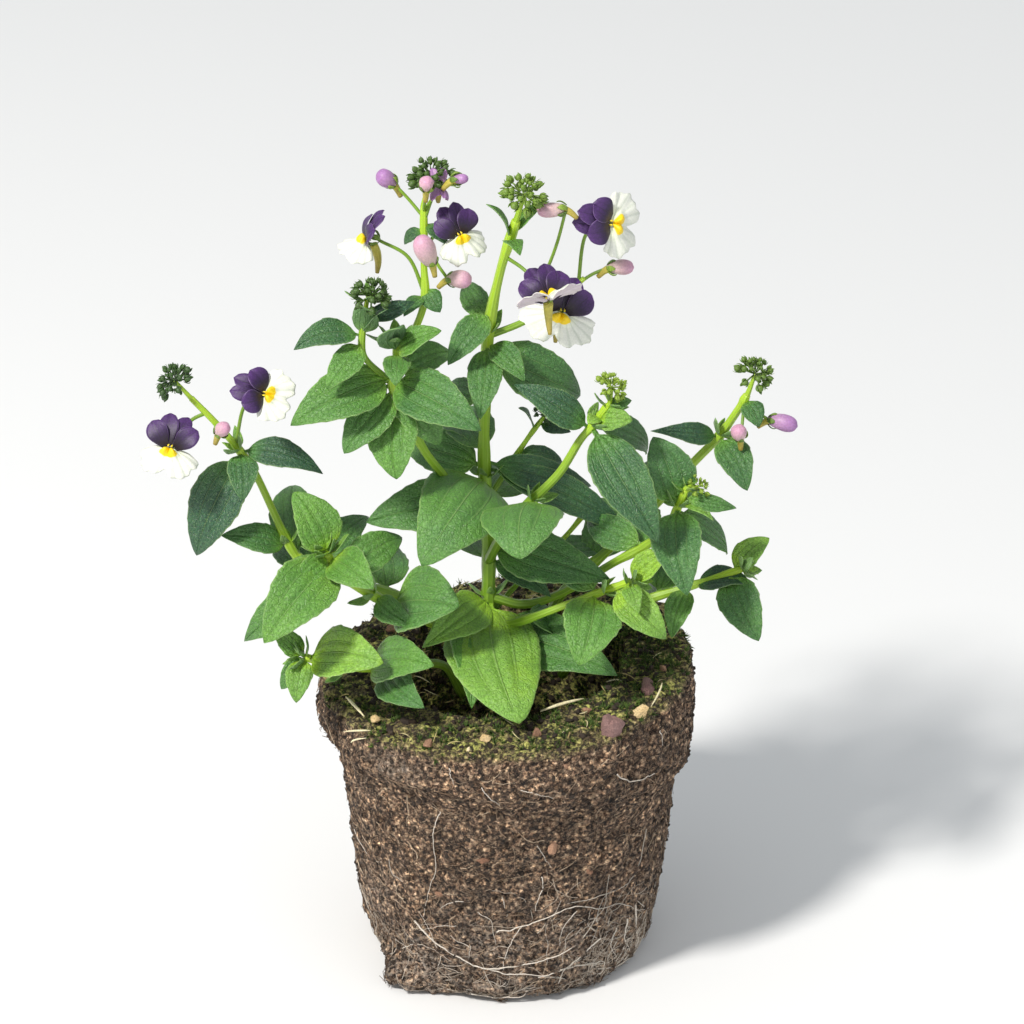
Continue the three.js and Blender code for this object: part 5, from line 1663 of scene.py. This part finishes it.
def thread_paths():
    """Every root thread as points, thickness and shade: those of the picture and wandering ones."""
    paths = []
    for path, thickness in MAIN_ROOTS:
        spots = Spline([(turn, height, 0) for turn, height in path]).line(8 * len(path))
        wobble = np.random.default_rng(int(path[0][0] * 10 + path[0][1]))
        jitter = np.cumsum(wobble.normal(0, 0.14, (len(spots), 2)), axis=0)
        paths.append(([wall_point(t + dx, max(h + dz, THREAD_LOW), 0.4)
                       for (t, h, _), (dx, dz) in zip(spots, jitter)], thickness * 1.1, 0.85))
    rng = np.random.default_rng(21)
    for number, turn, wide, low, high, steps, thickness in ROOT_CROWDS:
        for _ in range(number):
            aside = rng.uniform(-wide, wide)
            heading = rng.choice([0.0, math.pi]) + rng.normal(0, 0.9)
            path = wander(rng, turn + aside, abs(rng.normal(0, high)) + low, heading,
                          int(rng.integers(*steps)), 0.24)
            paths.append((path, rng.uniform(*thickness), rng.uniform(0.2, 0.9)))
    return paths


def strand_paths():
    """Tan peat strands that lie every way all over the wall."""
    rng = np.random.default_rng(22)
    paths = []
    for _ in range(PEAT_STRANDS):
        path = wander(rng, rng.uniform(0, 360), rng.uniform(2, 77), rng.uniform(0, 2 * math.pi),
                      int(rng.integers(4, 14)), 0.3)
        paths.append((path, rng.uniform(0.4, 1.0), rng.uniform(0.3, 1.0)))
    return paths


def build_threads(name, paths, tree, finish):
    """One piece of threads from their paths."""
    mesh = bpy.data.meshes.new(f"{name}_lines")
    points, edges, thick, shade = [], [], [], []
    for path, thickness, chance in paths:
        start = len(points)
        points += [list(np.array(p) * MM) for p in path]
        edges += [(start + i, start + i + 1) for i in range(len(path) - 1)]
        thick += [thickness] * len(path)
        shade += [chance] * len(path)
    mesh.from_pydata(points, edges, [])
    write_field(mesh, "thickness", thick)
    write_field(mesh, "chance", shade)
    lines = link_object(f"{name}_lines", mesh)
    values = {"Radius": THREAD_RADIUS * MM, "Sides": THREAD_SIDES, "Finish": MATERIALS[finish]}
    piece = run_tree(lines, tree, values, name)
    smooth(piece)
    bpy.data.objects.remove(lines)
    settle(piece, "peat")


def build_roots():
    """Pale roots and tan strands of peat on the wall."""
    tree = thread_tree()
    build_threads("root_threads", thread_paths(), tree, "root")
    build_threads("peat_strands", strand_paths(), tree, "fibre")


# Loose things on and in the soil: kind, middle, half size, turn in degrees.
CHIPS = [
    ("stone_red", (26, -39, 83.5), (4.4, 2.6, 5.6), 30),
    ("stone_red", (36, -20, 85.5), (4.2, 2.4, 1.2), 80),
    ("stone_cream", (34, -33, 85.5), (2.6, 2.1, 1.9), 0),
    ("stone_cream", (-6, -41, 82.0), (1.5, 1.2, 1.0), 20),
    ("stone_cream", (-10, -44, 80.5), (0.9, 0.8, 0.8), 60),
    ("stone_cream", (-34, -28, 80.0), (1.6, 1.3, 1.0), 50),
    ("bark", (7, -41.5, 83.0), (1.4, 1.1, 2.2), 10),
    ("bark", (14, -46.5, 77), (1.6, 0.8, 1.0), 40),
    ("bark", (-20, -40.5, 80.5), (2.2, 1.4, 1.0), 70),
    ("bark", (20, -30, 84.0), (1.6, 1.2, 0.9), 15),
    ("bark", (40, -12, 86.0), (1.8, 1.2, 1.0), 120),
    ("bark", (-30, 20, 80.0), (2.4, 1.6, 1.2), 200),
    ("bark", (12, 30, 83.5), (2.6, 1.5, 1.1), 250),
    ("stone_cream", (30, 24, 85), (1.9, 1.5, 1.2), 130),
    ("stone_red", (-14, 34, 81.5), (2.6, 1.9, 1.4), 300),
]

# Chips that stick in the wall: kind, turn in degrees, height, half size, turn about the upright.
WALL_CHIPS = [
    ("bark", 286, 50, (1.6, 1.0, 3.0), 35), ("bark", 262, 47, (2.4, 1.2, 0.9), 10),
    ("bark", 245, 34, (1.2, 0.9, 0.8), 0), ("bark", 300, 40, (1.0, 1.4, 0.8), 0),
    ("bark", 60, 44, (2.0, 1.4, 0.9), 20), ("bark", 120, 30, (1.6, 2.2, 0.9), 60),
    ("bark", 180, 52, (1.8, 1.3, 0.9), 90), ("bark", 20, 26, (1.4, 1.8, 0.9), 45),
]

# Dry straws and splinters: both ends and thickness. More of them are scattered over the soil.
STRAWS = [((-42, -17, 81), (-37, -28, 81.5), 0.42), ((8, -31, 84.5), (19, -27, 86), 0.45),
          ((9, -30, 84), (14, -29, 85.5), 0.3), ((-42, -32, 79), (-35, -34, 80.5), 0.28),
          ((-41, -35, 77.5), (-37, -36, 79.5), 0.24), ((37, -29, 85), (40, -22, 88), 0.26)]
LOOSE_STRAWS = 60


def add_straw(tissue, start, end, thickness, chance, rng):
    """One dry stalk or splinter with a slight sag."""
    s = np.linspace(-0.5, 0.5, 6)[:, None]
    start, end = np.array(start, float), np.array(end, float)
    sag = np.array([rng.normal(0, 1), rng.normal(0, 1), -0.6])
    line = (start + end) / 2 + s * (end - start) + sag * s**2 * 2
    add_tube(tissue, line, np.array([0.3, 0.75, 1.0, 1.0, 0.8, 0.3]) * thickness, 5, "straw", chance=chance)


def add_chip(tissue, kind, centre, half, turn_degrees, seed):
    """A broken chip or small stone: a ball cut by flat planes and roughened."""
    rng = np.random.default_rng(seed)
    rows, columns = 13, 18
    lat = np.linspace(-np.pi / 2 * 0.97, np.pi / 2 * 0.97, rows)[:, None]
    lon = full_turn(columns)
    high = np.broadcast_to(np.sin(lat), (rows, columns))
    way = np.stack([np.cos(lat) * np.cos(lon), np.cos(lat) * np.sin(lon), high], -1)
    planes = rng.normal(0, 1, (10, 3))
    planes /= np.linalg.norm(planes, axis=1, keepdims=True)
    facing = np.maximum(way @ planes.T, 1e-6)
    reach = np.minimum(1.15, (rng.uniform(0.5, 0.85, 10) / facing).min(axis=-1))
    reach = reach * (1 + 0.12 * rough(way * 4, 1.0, seed % 7))
    turn = math.radians(turn_degrees)
    c, s = math.cos(turn), math.sin(turn)
    shape = (way * reach[..., None] * np.array(half)) @ np.array([[c, s, 0], [-s, c, 0], [0, 0, 1]])
    tissue.add(shape + centre, cap_faces(rows, columns), kind, chance=rng.random(), along=0.5)


def build_chips():
    """Stones, bark chips and straws, as one piece."""
    tissue = Tissue()
    for i, (kind, centre, half, turn) in enumerate(CHIPS):
        add_chip(tissue, kind, np.array(centre, float), half, turn, 40 + i)
    for i, (kind, turn, height, half, spin) in enumerate(WALL_CHIPS):
        add_chip(tissue, kind, wall_point(turn, height, 0.0), half, spin, 60 + i)
    rng = np.random.default_rng(33)
    for start, end, thickness in STRAWS:
        add_straw(tissue, start, end, thickness, 0.9, rng)
    for _ in range(LOOSE_STRAWS):
        turn = rng.uniform(0, 2 * math.pi)
        reach = (SOIL_RADIUS - 1) * rng.uniform(0.3, 1) ** 0.6
        centre = np.array([reach * math.cos(turn), reach * math.sin(turn),
                           SOIL_HEIGHT + 0.9 + SOIL_SLOPE * reach * math.cos(turn)])
        heading = rng.uniform(0, 2 * math.pi)
        half = rng.uniform(1, 3.5) * np.array([math.cos(heading), math.sin(heading), rng.uniform(-0.1, 0.15)])
        add_straw(tissue, centre - half, centre + half, rng.uniform(0.1, 0.2), rng.random(), rng)
    settle(make_object("soil_chips", tissue, MATERIALS), "peat")


# Camera, light and floor, in metres. Lights: name, place, target, diameter, power in watts, colour.

LIGHTS = [
    ("key_light", (-0.75, -0.75, 1.35), (0, 0, 0.1), 0.22, 29.0, (1.0, 0.97, 0.92)),
    ("fill_light", (0.9, -0.9, 0.5), (0, 0, 0.12), 1.2, 2.0, (0.9, 0.95, 1.0)),
]
SKY_COLOUR = (0.93, 0.97, 1.0, 1.0)
SKY_STRENGTH = 0.6
FLOOR_COLOUR = (0.81, 0.81, 0.81, 1.0)
FLOOR_HALF = 4.0


def build_camera():
    """Stands in front of the plant and looks down on it from afar, as in the picture."""
    camera = bpy.data.cameras.new("camera")
    camera.sensor_width = SENSOR_MM
    camera.lens = SENSOR_MM * FOCAL_PIXELS / FRAME_PIXELS
    camera.clip_start = 0.05
    camera.clip_end = 20.0
    holder = link_object("camera", camera)
    tilt = math.radians(CAMERA_ELEVATION)
    back = Vector((0, -math.cos(tilt), math.sin(tilt)))
    holder.location = Vector(CAMERA_TARGET) * MM + back * CAMERA_DISTANCE * MM
    holder.rotation_euler = (-back).to_track_quat("-Z", "Y").to_euler()
    bpy.context.scene.camera = holder


def add_area_light(name, place, target, size, power, colour):
    light = bpy.data.lights.new(name, "AREA")
    light.shape = "DISK"
    light.size = size
    light.energy = power
    light.color = colour
    holder = link_object(name, light)
    holder.location = place
    holder.rotation_euler = (Vector(target) - Vector(place)).to_track_quat("-Z", "Y").to_euler()


def build_studio():
    """A pale floor and soft light: a key from the upper left, a weak fill and a white sky."""
    scene = bpy.context.scene
    scene.view_settings.view_transform = "Standard"
    scene.view_settings.look = "None"
    world = bpy.data.worlds.new("studio")
    scene.world = world
    world.use_nodes = True
    sky = world.node_tree.nodes["Background"]
    sky.inputs["Color"].default_value = SKY_COLOUR
    sky.inputs["Strength"].default_value = SKY_STRENGTH
    for light in LIGHTS:
        add_area_light(*light)
    floor = bpy.data.meshes.new("floor")
    corners = [(-FLOOR_HALF, -FLOOR_HALF, 0), (FLOOR_HALF, -FLOOR_HALF, 0), (FLOOR_HALF, FLOOR_HALF, 0),
               (-FLOOR_HALF, FLOOR_HALF, 0)]
    floor.from_pydata(corners, [], [(0, 1, 2, 3)])
    plate = link_object("floor", floor)
    material, _, shader = new_material("floor_pale", 0.8)
    shader.inputs["Base Color"].default_value = FLOOR_COLOUR
    floor.materials.append(material)


build_stems()
build_leaves()
for flower in FLOWERS:
    build_flower(*flower)
build_buds()
build_bud_heads()
root_ball = build_root_ball()
scatter_litter(root_ball)
settle(root_ball, "peat", "root_ball")
build_roots()
build_chips()
build_camera()
build_studio()
